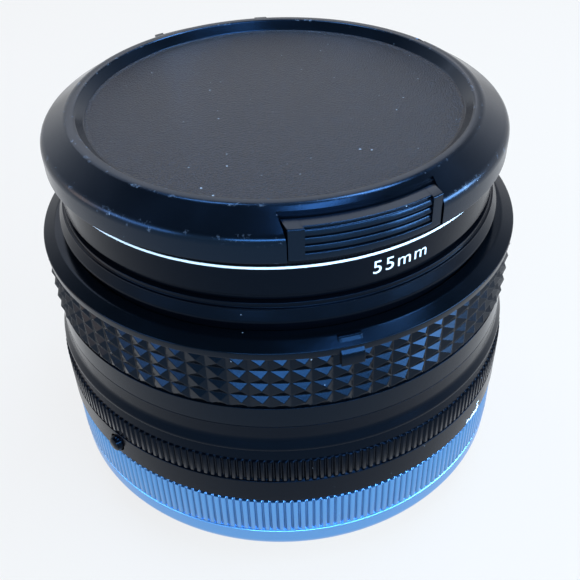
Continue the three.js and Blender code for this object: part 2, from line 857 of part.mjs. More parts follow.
function capShell() {
  const shell = turned([
    [0, capUnderside],
    [spigotInner - 0.8, capUnderside],
    [spigotInner, capUnderside - 1.0],
    [spigotInner, spigotFoot],
    [spigotOuter, spigotFoot],
    [spigotOuter, capFoot],
    [capRadius - capFootChamfer, capFoot],
    [capRadius, capFoot + capFootChamfer],
    [capRadius, capSideTop],
    [capRimRadius, capConeTop],
    [capRimRadius - 0.8, capTop],
    [capRimRadius - 0.8 - capRimWidth, capTop],
    [capRimRadius - 2.0 - capRimWidth, capDiscTop],
    [0, capDiscTop],
  ]);
  const openings = Object.values(tabAngles).flatMap((angle) => {
    const width = 2 * (tabHalfWidth + tabPlay);
    const slab = block(20, width, 20, capRadius - 2.9, 0, capFoot).rotateZ(toRadians(angle));
    const outside = sector(capRimRadius, capRadius + 2, angle, 28, spigotFoot - 1, capTop + 1, 12);
    const pocketBore = tabInner - tabTravel - 0.4;
    const pocket = sector(pocketBore, capRimRadius + 0.2, angle, 28, spigotFoot - 1, pocketTop, 12);
    return [common(outside, slab), common(pocket, slab)];
  });
  return cut(shell, ...openings);
}

// Spring-loaded release tab: a curved grip flush with the cap's edge,
// a tooth for the filter's thread and a guide arm.
function capTab(angle) {
  const outer = capRadius - 0.2;
  const grip = turned([
    [tabInner, tabFoot],
    [outer, tabFoot],
    [outer, tabTop - 0.2],
    [outer - 0.2, tabTop],
    [tabInner, tabTop],
  ]);
  const slab = block(20, 2 * tabHalfWidth, 20, capRadius - 2.9, 0, capFoot);
  const toothOuter = spigotOuter - 0.1;
  const tooth = sector(spigotInner, toothOuter, 0, 14, spigotFoot + 0.2, capUnderside - 0.4, 6);
  const bridge = sector(spigotInner + 0.2, tabInner + 0.4, 0, 14, capFoot + 0.8, capUnderside - 0.4, 6);
  const arm = block(9, 10, 1.2, tabInner - 5.6, 0, capUnderside - 1.0);
  return joined(common(grip, slab), bridge, tooth, arm).rotateZ(toRadians(angle));
}
addMesh("cap_shell", capShell(), "blackPlastic");
for (const [name, angle] of Object.entries(tabAngles)) {
  addMesh(name, capTab(angle), "blackPlastic");
}

export default part;
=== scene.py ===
"""A manual-focus prime lens with a breech-lock mount, a screw-in filter and a clip-on cap.

It stands on its rear tube on a pale studio floor. Sizes are in millimetres until a mesh is made,
+Z runs along the optical axis towards the subject, and the front of the scene is -Y.
"""

import math
import random

import bpy
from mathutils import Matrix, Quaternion, Vector


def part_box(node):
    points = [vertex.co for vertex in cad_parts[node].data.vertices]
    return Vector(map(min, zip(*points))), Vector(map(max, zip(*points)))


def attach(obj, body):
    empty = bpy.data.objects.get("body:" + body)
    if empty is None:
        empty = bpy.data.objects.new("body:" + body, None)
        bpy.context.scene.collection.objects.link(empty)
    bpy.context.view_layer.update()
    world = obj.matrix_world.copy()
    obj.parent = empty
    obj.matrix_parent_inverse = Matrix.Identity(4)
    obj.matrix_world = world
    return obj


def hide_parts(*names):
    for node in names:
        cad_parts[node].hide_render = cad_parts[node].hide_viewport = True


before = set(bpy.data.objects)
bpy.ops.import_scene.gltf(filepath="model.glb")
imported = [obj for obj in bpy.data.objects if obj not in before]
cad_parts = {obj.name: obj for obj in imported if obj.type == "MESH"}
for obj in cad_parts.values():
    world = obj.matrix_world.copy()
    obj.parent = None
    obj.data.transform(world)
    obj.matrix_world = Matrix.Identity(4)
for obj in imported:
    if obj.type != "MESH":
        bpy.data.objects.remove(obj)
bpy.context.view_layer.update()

MM = 0.001  # metres in a millimetre
ROUND_STEPS = 324  # sides of a turned ring, four for each pyramid of the grip
EASE_STEPS = 4  # faces across a rounded corner
PARTING = 0.06  # hairline left between two rings that turn on each other
INDEX_ANGLE = 130  # where the fixed index line stands, in degrees about Z
LUG_ANGLE = -76.3
BUTTON_ANGLE = -135
SIZE_MARK_ANGLE = -62.07
CHIP_ANGLE = -36.5
RED_DOT_ANGLE = 90


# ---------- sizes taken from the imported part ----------
def foot_of(node):
    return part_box(node)[0].z / MM


def top_of(node):
    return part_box(node)[1].z / MM


def radius_of(node):
    low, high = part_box(node)
    return max(-low.x, -low.y, high.x, high.y) / MM


BREECH_RADIUS = radius_of("breech_ring")
BREECH_FOOT = foot_of("breech_ring")
BREECH_TOP = top_of("breech_ring")
GRIP_RADIUS = radius_of("focus_ring")
APERTURE_RADIUS = radius_of("aperture_ring")
DEPTH_RADIUS = radius_of("depth_scale_ring") - 0.6
APERTURE_FOOT = foot_of("aperture_ring")
APERTURE_TOP = top_of("aperture_ring")
DEPTH_FOOT = foot_of("depth_scale_ring")
DEPTH_TOP = top_of("depth_scale_ring")
FOCUS_FOOT = foot_of("focus_ring")
LUG_TOP = top_of("focus_ring")
FOCUS_TOP = LUG_TOP - 0.1
NOSE_FOOT = foot_of("front_nose")
NOSE_TOP = top_of("front_nose")
HOOD_FLANGE_RADIUS = radius_of("front_nose")
NOSE_RADIUS = HOOD_FLANGE_RADIUS - 0.9
FILTER_RADIUS = radius_of("filter_frame")
FILTER_SKIRT_FOOT = foot_of("filter_frame")
FILTER_FOOT = NOSE_TOP + 0.3
FILTER_TOP = top_of("filter_frame")
THREAD_RADIUS = FILTER_RADIUS - 1.0
CAP_RADIUS = radius_of("cap_shell")
CAP_FOOT = FILTER_TOP + 0.3
CAP_TOP = top_of("cap_shell")
TAIL_RADIUS = radius_of("rear_tube")
TAIL_TOP = top_of("rear_tube")


# ---------- mesh code ----------
class Shape:
    """Points in millimetres and the faces between them. `edge` marks corners that wear, `groove` the grooves,
    which bright metals darken as painted shade.
    """

    def __init__(self):
        self.points = []
        self.faces = []
        self.edge = []
        self.groove = []

    def loft(self, rings, edge=None, groove=None, closed=True, capped=False):
        """Joins rings of points, each to the next. A ring of one point closes the end on the axis."""
        starts = []
        for i, ring in enumerate(rings):
            starts.append(len(self.points))
            self.points += ring
            self.edge += [edge[i] if edge else 0.0] * len(ring)
            self.groove += groove[i] if groove else [0.0] * len(ring)
        pairs = list(zip(range(len(rings)), range(1, len(rings))))
        if closed:
            pairs.append((len(rings) - 1, 0))
        for a, b in pairs:
            self.bridge(starts[a], len(rings[a]), starts[b], len(rings[b]))
        if capped:
            self.faces.append(list(range(starts[0], starts[0] + len(rings[0])))[::-1])
            self.faces.append(list(range(starts[-1], starts[-1] + len(rings[-1]))))
        return self

    def bridge(self, a, count_a, b, count_b):
        for j in range(max(count_a, count_b)):
            k = (j + 1) % max(count_a, count_b)
            if count_a == 1:
                self.faces.append([a, b + k, b + j])
            elif count_b == 1:
                self.faces.append([a + j, a + k, b])
            else:
                self.faces.append([a + j, a + k, b + k, b + j])

    def turn(self, outline, ease=0.12, steps=ROUND_STEPS):
        """A body of revolution from (radius, height) points, up the outside and down the inside."""
        eased = round_corners(outline, ease)
        rings = [circle(r, z, steps) if r > 1e-6 else [Vector((0, 0, z))] for r, z, _ in eased]
        on_axis = outline[0][0] == 0 and outline[-1][0] == 0
        return self.loft(rings, edge=[worn for _, _, worn in eased], closed=not on_axis)

    def sweep(self, outline, angle, start, end, ease=0.12, steps=24):
        """A piece of a turned ring with parallel ends, `start` and `end` mm to the sides of an angle."""
        eased = round_corners(outline, ease)
        rings = []
        for i in range(steps + 1):
            side = start + (end - start) * i / steps
            ring = []
            for r, z, _ in eased:
                turn = math.radians(angle) + math.asin(side / r)
                ring.append(Vector((r * math.cos(turn), r * math.sin(turn), z)))
            rings.append(ring[::-1])
        return self.loft(rings, closed=False, capped=True)


def circle(radius, z, steps=ROUND_STEPS):
    turns = (math.tau * i / steps for i in range(steps))
    return [Vector((radius * math.cos(a), radius * math.sin(a), z)) for a in turns]


def round_corners(outline, ease):
    """(radius, height, wear) points of a closed outline. A third number on a point is its own easing."""
    points = []
    plain = [Vector(point[:2]) for point in outline]
    for i, corner in enumerate(plain):
        if corner.x == 0:
            points.append((corner.x, corner.y, 0.0))
            continue
        back = plain[i - 1] - corner
        ahead = plain[(i + 1) % len(plain)] - corner
        if math.degrees(back.angle(-ahead)) < 9:
            points.append((corner.x, corner.y, 0.0))
            continue
        outward = 1.0 if back.x * ahead.y - back.y * ahead.x < 0 else 0.0
        own = outline[i][2] if len(outline[i]) > 2 else ease
        reach = min(own, 0.42 * back.length, 0.42 * ahead.length)
        start = corner + back.normalized() * reach
        end = corner + ahead.normalized() * reach
        for step in range(EASE_STEPS + 1):
            t = step / EASE_STEPS
            p = start * (1 - t) ** 2 + corner * 2 * t * (1 - t) + end * t**2
            points.append((p.x, p.y, outward if 0 < step < EASE_STEPS else 0.0))
    return points


def make_piece(name, shape, body, material, stands_for=(), smooth_angle=38):
    mesh = bpy.data.meshes.new(name)
    mesh.from_pydata([p * MM for p in shape.points], [], shape.faces)
    mesh.validate()
    for attribute, values in (("edge", shape.edge), ("groove", shape.groove)):
        mesh.attributes.new(attribute, "FLOAT", "POINT").data.foreach_set("value", values)
    mesh.materials.append(material)
    mesh.shade_smooth()
    mesh.set_sharp_from_angle(angle=math.radians(smooth_angle))
    piece = bpy.data.objects.new(name, mesh)
    bpy.context.scene.collection.objects.link(piece)
    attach(piece, body)
    if stands_for:
        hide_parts(*stands_for)
    return piece


def even_normals(piece):
    """Keeps wide flats flat beside their rounded corners."""
    modifier = piece.modifiers.new("even_normals", "WEIGHTED_NORMAL")
    modifier.keep_sharp = True
    return piece


def cut_away(piece, shape, smooth_angle=38):
    """Takes a shape out of a piece."""
    mesh = bpy.data.meshes.new("cutter")
    mesh.from_pydata([p * MM for p in shape.points], [], shape.faces)
    cutter = bpy.data.objects.new("cutter", mesh)
    bpy.context.scene.collection.objects.link(cutter)
    modifier = piece.modifiers.new("cut", "BOOLEAN")
    modifier.object = cutter
    modifier.solver = "EXACT"
    depsgraph = bpy.context.evaluated_depsgraph_get()
    made = bpy.data.meshes.new_from_object(piece.evaluated_get(depsgraph))
    piece.modifiers.remove(modifier)
    piece.data = made
    bpy.data.objects.remove(cutter)
    piece.data.shade_smooth()
    piece.data.set_sharp_from_angle(angle=math.radians(smooth_angle))
    return piece


def repaint(piece, material, where):
    """Gives the faces whose middle passes `where`, in millimetres, another material."""
    piece.data.materials.append(material)
    index = len(piece.data.materials) - 1
    for face in piece.data.polygons:
        if where(face.center / MM):
            face.material_index = index


def wrap_text(
    name, words, radius, angle, z, height, body, slot, bold=0.0, upright=True, stretch=1.0, spacing=1.0
):
    """Filled lettering that lies on a cylinder, its middle at an angle and a height."""
    curve = bpy.data.curves.new(name, "FONT")
    curve.body = words
    curve.align_x = "CENTER"
    curve.align_y = "CENTER"
    curve.size = height / 0.7
    curve.offset = bold
    curve.space_character = spacing
    curve.extrude = 0.03
    curve.resolution_u = 4
    source = bpy.data.objects.new("lettering", curve)
    bpy.context.scene.collection.objects.link(source)
    depsgraph = bpy.context.evaluated_depsgraph_get()
    depsgraph.update()
    mesh = bpy.data.meshes.new_from_object(source.evaluated_get(depsgraph))
    bpy.data.objects.remove(source)
    for vertex in mesh.vertices:
        across, up, out = vertex.co
        if not upright:
            across, up = -up, across
        turn = math.radians(angle) + across * stretch / radius
        reach = radius + 0.02 + out / 3
        vertex.co = Vector((reach * math.cos(turn), reach * math.sin(turn), z + up)) * MM
    mesh.materials.clear()
    mesh.materials.append(slot["paint"])
    piece = bpy.data.objects.new(name, mesh)
    bpy.context.scene.collection.objects.link(piece)
    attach(piece, body)
    return piece


# ---------- finishes ----------
def linear(hex_colour):
    channels = [int(hex_colour[i : i + 2], 16) / 255 for i in (1, 3, 5)]
    curve = [c / 12.92 if c <= 0.04045 else ((c + 0.055) / 1.055) ** 2.4 for c in channels]
    return (*curve, 1.0)


def add(tree, kind, inputs=None, **settings):
    """Adds one node with its settings, and sets or links its inputs."""
    made = tree.nodes.new(kind)
    for name, value in settings.items():
        setattr(made, name, value)
    for socket, value in (inputs or {}).items():
        if isinstance(value, bpy.types.NodeSocket):
            tree.links.new(value, made.inputs[socket])
        else:
            made.inputs[socket].default_value = value
    return made


def new_material(name):
    material = bpy.data.materials.new(name)
    material.use_nodes = True
    tree = material.node_tree
    tree.nodes.clear()
    place = add(tree, "ShaderNodeTexCoord").outputs["Object"]
    inputs = {0: place, "Scale": 1 / MM}
    millimetres = add(tree, "ShaderNodeVectorMath", inputs, operation="SCALE").outputs[0]
    return material, tree, millimetres


def close(tree, shader):
    add(tree, "ShaderNodeOutputMaterial", {"Surface": shader.outputs[0]})


def lathe_lines(tree, millimetres, pitch):
    """Height of the fine lines a lathe tool leaves, running round the axis."""
    parts = add(tree, "ShaderNodeSeparateXYZ", {0: millimetres})
    flat = add(tree, "ShaderNodeVectorMath", {0: millimetres, 1: (1, 1, 0)}, operation="MULTIPLY")
    radius = add(tree, "ShaderNodeVectorMath", {0: flat.outputs[0]}, operation="LENGTH")
    along = {0: radius.outputs["Value"], 1: parts.outputs["Z"]}
    along = add(tree, "ShaderNodeMath", along, operation="ADD")
    inputs = {"W": along.outputs[0], "Scale": 1 / pitch, "Detail": 3.0}
    return add(tree, "ShaderNodeTexNoise", inputs, noise_dimensions="1D").outputs["Fac"]


def specks(tree, millimetres, spacing, size, share):
    """1 on small round specks of dust, 0 between them. `share` is how many cells of `spacing` mm hold one."""
    inputs = {"Vector": millimetres, "Scale": 1 / spacing}
    cells = add(tree, "ShaderNodeTexVoronoi", inputs, feature="F1")
    lot = add(tree, "ShaderNodeSeparateColor", {"Color": cells.outputs["Color"]}).outputs["Red"]
    reach = {"Value": lot, "From Min": 1 - share, "To Min": 0.0, "To Max": size / spacing}
    reach = add(tree, "ShaderNodeMapRange", reach).outputs[0]
    near = {0: cells.outputs["Distance"], 1: reach}
    return add(tree, "ShaderNodeMath", near, operation="LESS_THAN").outputs[0]


def worn_edges(tree, millimetres, grain, cover):
    """How bare a corner is rubbed, from the mesh's own edge mark and a blotchy noise."""
    mark = add(tree, "ShaderNodeAttribute", attribute_name="edge").outputs["Fac"]
    inputs = {"Vector": millimetres, "Scale": 1 / grain, "Detail": 4.0, "Roughness": 0.7}
    blotch = add(tree, "ShaderNodeTexNoise", inputs).outputs["Fac"]
    inputs = {"Value": blotch, "From Min": 1 - cover, "From Max": 1.12 - cover}
    bare = add(tree, "ShaderNodeMapRange", inputs).outputs[0]
    return add(tree, "ShaderNodeMath", {0: mark, 1: bare}, operation="MULTIPLY").outputs[0]


def mixed(tree, share, first, second):
    inputs = {"Factor": share, "A": first, "B": second}
    return add(tree, "ShaderNodeMix", inputs, data_type="RGBA").outputs["Result"]


def black_finish(name, base, worn, roughness, lines=0.0, grain=0.3, dust=0.3, cover=0.3, level=0.32):
    """A black surface: base and rubbed colours, lathe lines or moulding grain (mm), dust and worn corners."""
    material, tree, millimetres = new_material(name)
    smear = {"Vector": millimetres, "Scale": 1 / 7.0, "Detail": 3.0}  # hand smears about 7 mm wide
    smear = add(tree, "ShaderNodeTexNoise", smear).outputs["Fac"]
    rough = {
        "Value": smear,
        "From Min": 0.3,
        "From Max": 0.7,
        "To Min": roughness - 0.05,
        "To Max": roughness + 0.07,
    }
    rough = add(tree, "ShaderNodeMapRange", rough, clamp=True).outputs[0]
    bare = worn_edges(tree, millimetres, 1.1, cover)
    rubbed = mixed(tree, bare, linear(base), linear(worn))
    dusty = specks(tree, millimetres, 1.5, 0.1, dust)
    colour = mixed(tree, dusty, rubbed, linear("#8E959F"))
    height = {"Vector": millimetres, "Scale": 1 / grain, "Detail": 2.0}
    height = add(tree, "ShaderNodeTexNoise", height).outputs["Fac"]
    if lines:
        height = lathe_lines(tree, millimetres, lines)
    bump = {"Height": height, "Strength": 0.08 if lines else 0.13, "Distance": 0.03 * MM}
    bump = add(tree, "ShaderNodeBump", bump).outputs[0]
    inputs = {
        "Base Color": colour,
        "Roughness": rough,
        "Normal": bump,
        "Specular IOR Level": level,
        "Specular Tint": linear("#80BCFF"),  # painted reflection: every gloss tinted the blue of a cool sky
    }
    close(tree, add(tree, "ShaderNodeBsdfPrincipled", inputs))
    return material


def grained_plastic(name):
    """ABS moulded in a spark-eroded tool: a fine sparkling grain over a matt black ground."""
    material, tree, millimetres = new_material(name)
    # The real grit is about 0.1 mm, drawn at 0.16 mm to show.
    pits = {"Vector": millimetres, "Scale": 1 / 0.16, "Detail": 2.0, "Roughness": 0.6}
    pits = add(tree, "ShaderNodeTexNoise", pits).outputs["Fac"]
    pores = {"Vector": millimetres, "Scale": 1 / 0.24}
    pores = add(tree, "ShaderNodeTexVoronoi", pores, feature="F1").outputs["Distance"]
    height = add(tree, "ShaderNodeMath", {0: pits, 1: pores}, operation="ADD").outputs[0]
    bump = {"Height": height, "Strength": 0.8, "Distance": 0.1 * MM}
    bump = add(tree, "ShaderNodeBump", bump).outputs[0]
    haze = {"Vector": millimetres, "Scale": 1 / 14.0, "Detail": 3.0}
    haze = add(tree, "ShaderNodeTexNoise", haze).outputs["Fac"]
    rough = add(tree, "ShaderNodeMapRange", {"Value": haze, "To Min": 0.27, "To Max": 0.38}).outputs[0]
    tone = mixed(tree, haze, linear("#08090B"), linear("#121316"))
    dusty = specks(tree, millimetres, 1.4, 0.13, 0.5)
    colour = mixed(tree, dusty, tone, linear("#9DA1A8"))
    inputs = {
        "Base Color": colour,
        "Roughness": rough,
        "Normal": bump,
        "Specular IOR Level": 0.42,
        # painted reflection: the gloss is tinted a pale sky blue
        "Specular Tint": linear("#CCD2EA"),
    }
    close(tree, add(tree, "ShaderNodeBsdfPrincipled", inputs))
    return material


def bright_metal(name, base, groove_shade_colour, roughness, grit, lines=0.0):
    """Bare or plated metal: blasted grit or lathe lines, with painted shade in the grooves, patchy under a
    noise.
    """
    material, tree, millimetres = new_material(name)
    groove = add(tree, "ShaderNodeAttribute", attribute_name="groove").outputs["Fac"]
    patchy_noise = {"Vector": millimetres, "Scale": 1 / 5.0, "Detail": 4.0}
    patchy_noise = add(tree, "ShaderNodeTexNoise", patchy_noise).outputs["Fac"]
    share = {"Value": patchy_noise, "To Min": 0.25, "To Max": 0.85}
    share = add(tree, "ShaderNodeMapRange", share).outputs[0]
    # painted shade: the grooves are darkened towards the second colour, in patches
    groove_shade = add(tree, "ShaderNodeMath", {0: groove, 1: share}, operation="MULTIPLY").outputs[0]
    colour = mixed(tree, groove_shade, linear(base), linear(groove_shade_colour))
    rough = {"Value": patchy_noise, "To Min": roughness - 0.05, "To Max": roughness + 0.09}
    rough = add(tree, "ShaderNodeMapRange", rough).outputs[0]
    height = {"Vector": millimetres, "Scale": 1 / grit, "Detail": 2.0}
    height = add(tree, "ShaderNodeTexNoise", height).outputs["Fac"]
    if lines:
        height = lathe_lines(tree, millimetres, lines)
    bump = {"Height": height, "Strength": 0.12, "Distance": 0.03 * MM}
    bump = add(tree, "ShaderNodeBump", bump).outputs[0]
    inputs = {"Base Color": colour, "Metallic": 1.0, "Roughness": rough, "Normal": bump}
    close(tree, add(tree, "ShaderNodeBsdfPrincipled", inputs))
    return material


def coated_glass(name, ior):
    """Polished optical glass with a thin fluoride coating that turns its reflection faintly violet."""
    material, tree, millimetres = new_material(name)
    haze = {"Vector": millimetres, "Scale": 1 / 9.0, "Detail": 4.0}
    haze = add(tree, "ShaderNodeTexNoise", haze).outputs["Fac"]
    rough = add(tree, "ShaderNodeMapRange", {"Value": haze, "To Min": 0.0, "To Max": 0.05}).outputs[0]
    inputs = {
        "Base Color": linear("#F6F9FF"),
        "Roughness": rough,
        "IOR": ior,
        "Transmission Weight": 1.0,
        "Thin Film Thickness": 360.0,
        "Thin Film IOR": 1.38,
    }
    close(tree, add(tree, "ShaderNodeBsdfPrincipled", inputs))
    return material


def flat_paint(name, base, roughness=0.55):
    """Enamel rubbed into an engraved mark: matt, slightly uneven, thinner where it has been wiped."""
    material, tree, millimetres = new_material(name)
    uneven = {"Vector": millimetres, "Scale": 1 / 0.8, "Detail": 3.0}
    uneven = add(tree, "ShaderNodeTexNoise", uneven).outputs["Fac"]
    thin = add(tree, "ShaderNodeMapRange", {"Value": uneven, "To Min": 0.0, "To Max": 0.3}).outputs[0]
    colour = mixed(tree, thin, linear(base), linear("#6E7278"))
    bump = {"Height": uneven, "Strength": 0.1, "Distance": 0.02 * MM}
    bump = add(tree, "ShaderNodeBump", bump).outputs[0]
    inputs = {"Base Color": colour, "Roughness": roughness, "Normal": bump}
    close(tree, add(tree, "ShaderNodeBsdfPrincipled", inputs))
    return material


# Black anodised aluminium, lathe turned: satin, with hairline rings, dust and bare corners.
anodised = black_finish(
    "anodised_aluminium_black", "#030407", "#59616C", 0.2, lines=0.16, dust=0.22, level=0.13
)
# Moulded ABS, polished tool: glossier and without tool lines, corners rubbed grey.
moulded = black_finish(
    "moulded_abs_black", "#030508", "#2E333B", 0.18, grain=0.5, dust=0.16, cover=0.25, level=0.18
)
# The cap is the same plastic but scuffed by pockets: shinier, dustier, with broad whitened corners.
scuffed = black_finish(
    "scuffed_abs_black", "#04060A", "#4A505A", 0.2, grain=0.35, dust=0.3, cover=0.42, level=0.36
)
# Anti-reflection paint, sprayed matt: swallows the light inside the barrel.
matt_paint = black_finish(
    "matt_black_barrel_paint", "#060607", "#141416", 0.82, grain=0.3, dust=0.1, level=0.2
)
# Spark-eroded ABS for the sunk disc of the cap: glitters at grazing light, dull from above.
grained = grained_plastic("grained_abs_black")
# Satin chrome plate on brass, blasted before plating: soft, with painted shade in the grooves. Its colour
# holds the blue of a cool sky, because plain chrome would only show the pale floor.
chrome = bright_metal("satin_chrome_plate", "#66A2E0", "#101926", 0.28, 0.12)
# Turned steel for pins, screws and levers: grey, with fine bright lines.
steel = bright_metal("turned_steel", "#A9ADB2", "#3A3C40", 0.32, 0.2, 0.12)
# Spring steel blued in the furnace, for the iris leaves: dark slate with a dull shine.
blued = bright_metal("blued_spring_steel", "#4A4E57", "#1E2024", 0.38, 0.3)
# Turned brass of the focusing threads: warm yellow under old grease.
brass = bright_metal("turned_brass", "#B08D4F", "#4A3A1C", 0.34, 0.2, 0.14)
# Turned aluminium of the lens tube: pale grey with fine rings.
aluminium = bright_metal("turned_aluminium", "#B5B8BC", "#4A4C50", 0.36, 0.2, 0.14)
# Coated optical glass: clear, with a faint violet sheen where a lamp strikes it.
glass = coated_glass("fluoride_coated_glass", 1.62)
# The filter's plain window, of a lighter glass: the same sheen, fainter.
filter_glass = coated_glass("fluoride_coated_filter_glass", 1.52)
# Enamel wiped into engraved marks: flat white, orange for feet and the index.
white_enamel = flat_paint("white_enamel_fill", "#F7F9FA")
orange_enamel = flat_paint("orange_enamel_fill", "#D9812B")
# A drop of enamel, not wiped: a little glossier.
red_enamel = flat_paint("red_enamel_dot", "#B3261E", 0.4)


# ---------- ribs and pyramids ----------
def ribbed_band(shape, count, outer, depth, inner, low, high, ease, land=0.55, points=8):
    """A sleeve with upright ribs that fade out at both ends. `land` is a rib's share of the pitch."""
    def rib(j):
        across = abs((j % points + 0.5) / points - 0.5) * 2  # 0 at the rib's middle, 1 in the groove
        return min(1.0, max(0.0, (1 - across) / (1 - land)))

    steps = count * points
    levels = [(low, 0.0), (low + 0.4 * ease, 0.75), (low + ease, 1.0)]
    levels += [(high - ease, 1.0), (high - 0.4 * ease, 0.75), (high, 0.0)]
    rings = []
    grooves = []
    for z, full in levels:
        ring = []
        for j in range(steps):
            turn = math.tau * j / steps
            r = outer - depth * (1 - rib(j) * full)
            ring.append(Vector((r * math.cos(turn), r * math.sin(turn), z)))
        rings.append(ring)
        grooves.append([1 - rib(j) for j in range(steps)])
    for z in (high, low):
        rings.append(circle(inner, z, steps))
        grooves.append([0.0] * steps)
    return shape.loft(rings, groove=grooves)


def pyramid_band(shape, columns, rows, peak, valley, inner, low, high):
    """A sleeve of four-sided pyramids in straight columns. Their peaks lean up and to the right."""
    lean_right = 0.65
    lean_up = 0.60
    pitch = math.tau / columns
    rise = (high - low) / rows
    first = len(shape.points)
    for row in range(rows + 1):
        shape.points += circle(valley, low + row * rise, columns)
    shape.points += circle(inner, high, columns) + circle(inner, low, columns)

    def corner(row, column):
        return first + row * columns + column % columns

    for row in range(rows):
        for column in range(columns):
            turn = (column + lean_right) * pitch
            height = low + (row + lean_up) * rise
            top = len(shape.points)
            shape.points.append(Vector((peak * math.cos(turn), peak * math.sin(turn), height)))
            around = [
                corner(row, column),
                corner(row, column + 1),
                corner(row + 1, column + 1),
                corner(row + 1, column),
            ]
            for i in range(4):
                shape.faces.append([around[i], around[(i + 1) % 4], top])
    ends = [rows, rows + 1, rows + 2, 0]
    for a, b in zip(ends, ends[1:]):
        shape.bridge(first + a * columns, columns, first + b * columns, columns)
    shape.edge += [0.0] * (len(shape.points) - len(shape.edge))
    shape.groove += [0.0] * (len(shape.points) - len(shape.groove))
    for row in range(rows + 1):
        for column in range(columns):
            shape.groove[corner(row, column)] = 1.0
    return shape


# ---------- cap ----------
TABS = {"cap_tab_front": ("tab_front", -71), "cap_tab_back": ("tab_back", 109)}
TAB_SIDE = 8.9
TAB_PLAY = 0.2
TAB_INNER = CAP_RADIUS - 2.4
TAB_OUTER = CAP_RADIUS - 0.2
TAB_FOOT = CAP_FOOT + 0.1
TAB_TOP = top_of("cap_tab_front")
CONE_RADIUS = CAP_RADIUS - 2.8
SIDE_TOP = CAP_FOOT + 3.0
CONE_TOP = SIDE_TOP + 1.7
DISC_RADIUS = CONE_RADIUS - 3.0
DISC_TOP = CAP_TOP - 1.4
DISC_UNDER = DISC_TOP - 1.2
SPIGOT_OUTER = THREAD_RADIUS - 0.6
SPIGOT_INNER = SPIGOT_OUTER - 1.1
SPIGOT_FOOT = foot_of("cap_shell")


def cap_shell():
    shell = Shape().turn([
        (0, DISC_UNDER),
        (SPIGOT_INNER - 0.8, DISC_UNDER),
        (SPIGOT_INNER, DISC_UNDER - 1.0),
        (SPIGOT_INNER, SPIGOT_FOOT),
        (SPIGOT_OUTER, SPIGOT_FOOT),
        (SPIGOT_OUTER, CAP_FOOT),
        (CAP_RADIUS - 0.05, CAP_FOOT, 0.15),
        (CAP_RADIUS, SIDE_TOP, 0.8),
        (CONE_RADIUS, CONE_TOP, 0.4),
        (CONE_RADIUS - 0.7, CAP_TOP, 0.35),
        (CONE_RADIUS - 1.8, CAP_TOP, 0.25),
        (DISC_RADIUS, DISC_TOP, 0.4),
        (0, DISC_TOP),
    ], ease=0.3)
    piece = make_piece(
        "cap_shell_moulding", shell, "cap", scuffed, ["cap_shell"]
    )
    for _, angle in TABS.values():
        side = TAB_SIDE + TAB_PLAY
        mouth = [
            (CONE_RADIUS, SPIGOT_FOOT - 1),
            (CAP_RADIUS + 2, SPIGOT_FOOT - 1),
            (CAP_RADIUS + 2, CAP_TOP + 1),
            (CONE_RADIUS, CAP_TOP + 1),
        ]
        cut_away(piece, Shape().sweep(mouth, angle, -side, side, ease=0))
        pocket_top = TAB_TOP + 0.3
        bore = TAB_INNER - 2.2
        pocket = [
            (bore, SPIGOT_FOOT - 1),
            (CONE_RADIUS + 0.3, SPIGOT_FOOT - 1),
            (CONE_RADIUS + 0.3, pocket_top),
            (bore, pocket_top),
        ]
        cut_away(piece, Shape().sweep(pocket, angle, -side, side, ease=0))
    nick = Shape()  # a small dent in the rim from a knock
    rod(nick, 0.75, CONE_RADIUS - 1.1, CONE_RADIUS + 2, CAP_TOP + 0.25, 36)
    cut_away(piece, nick)
    repaint(piece, grained, lambda c: c.z > DISC_UNDER + 0.5 and c.xy.length < DISC_RADIUS + 0.1)
    return even_normals(piece)


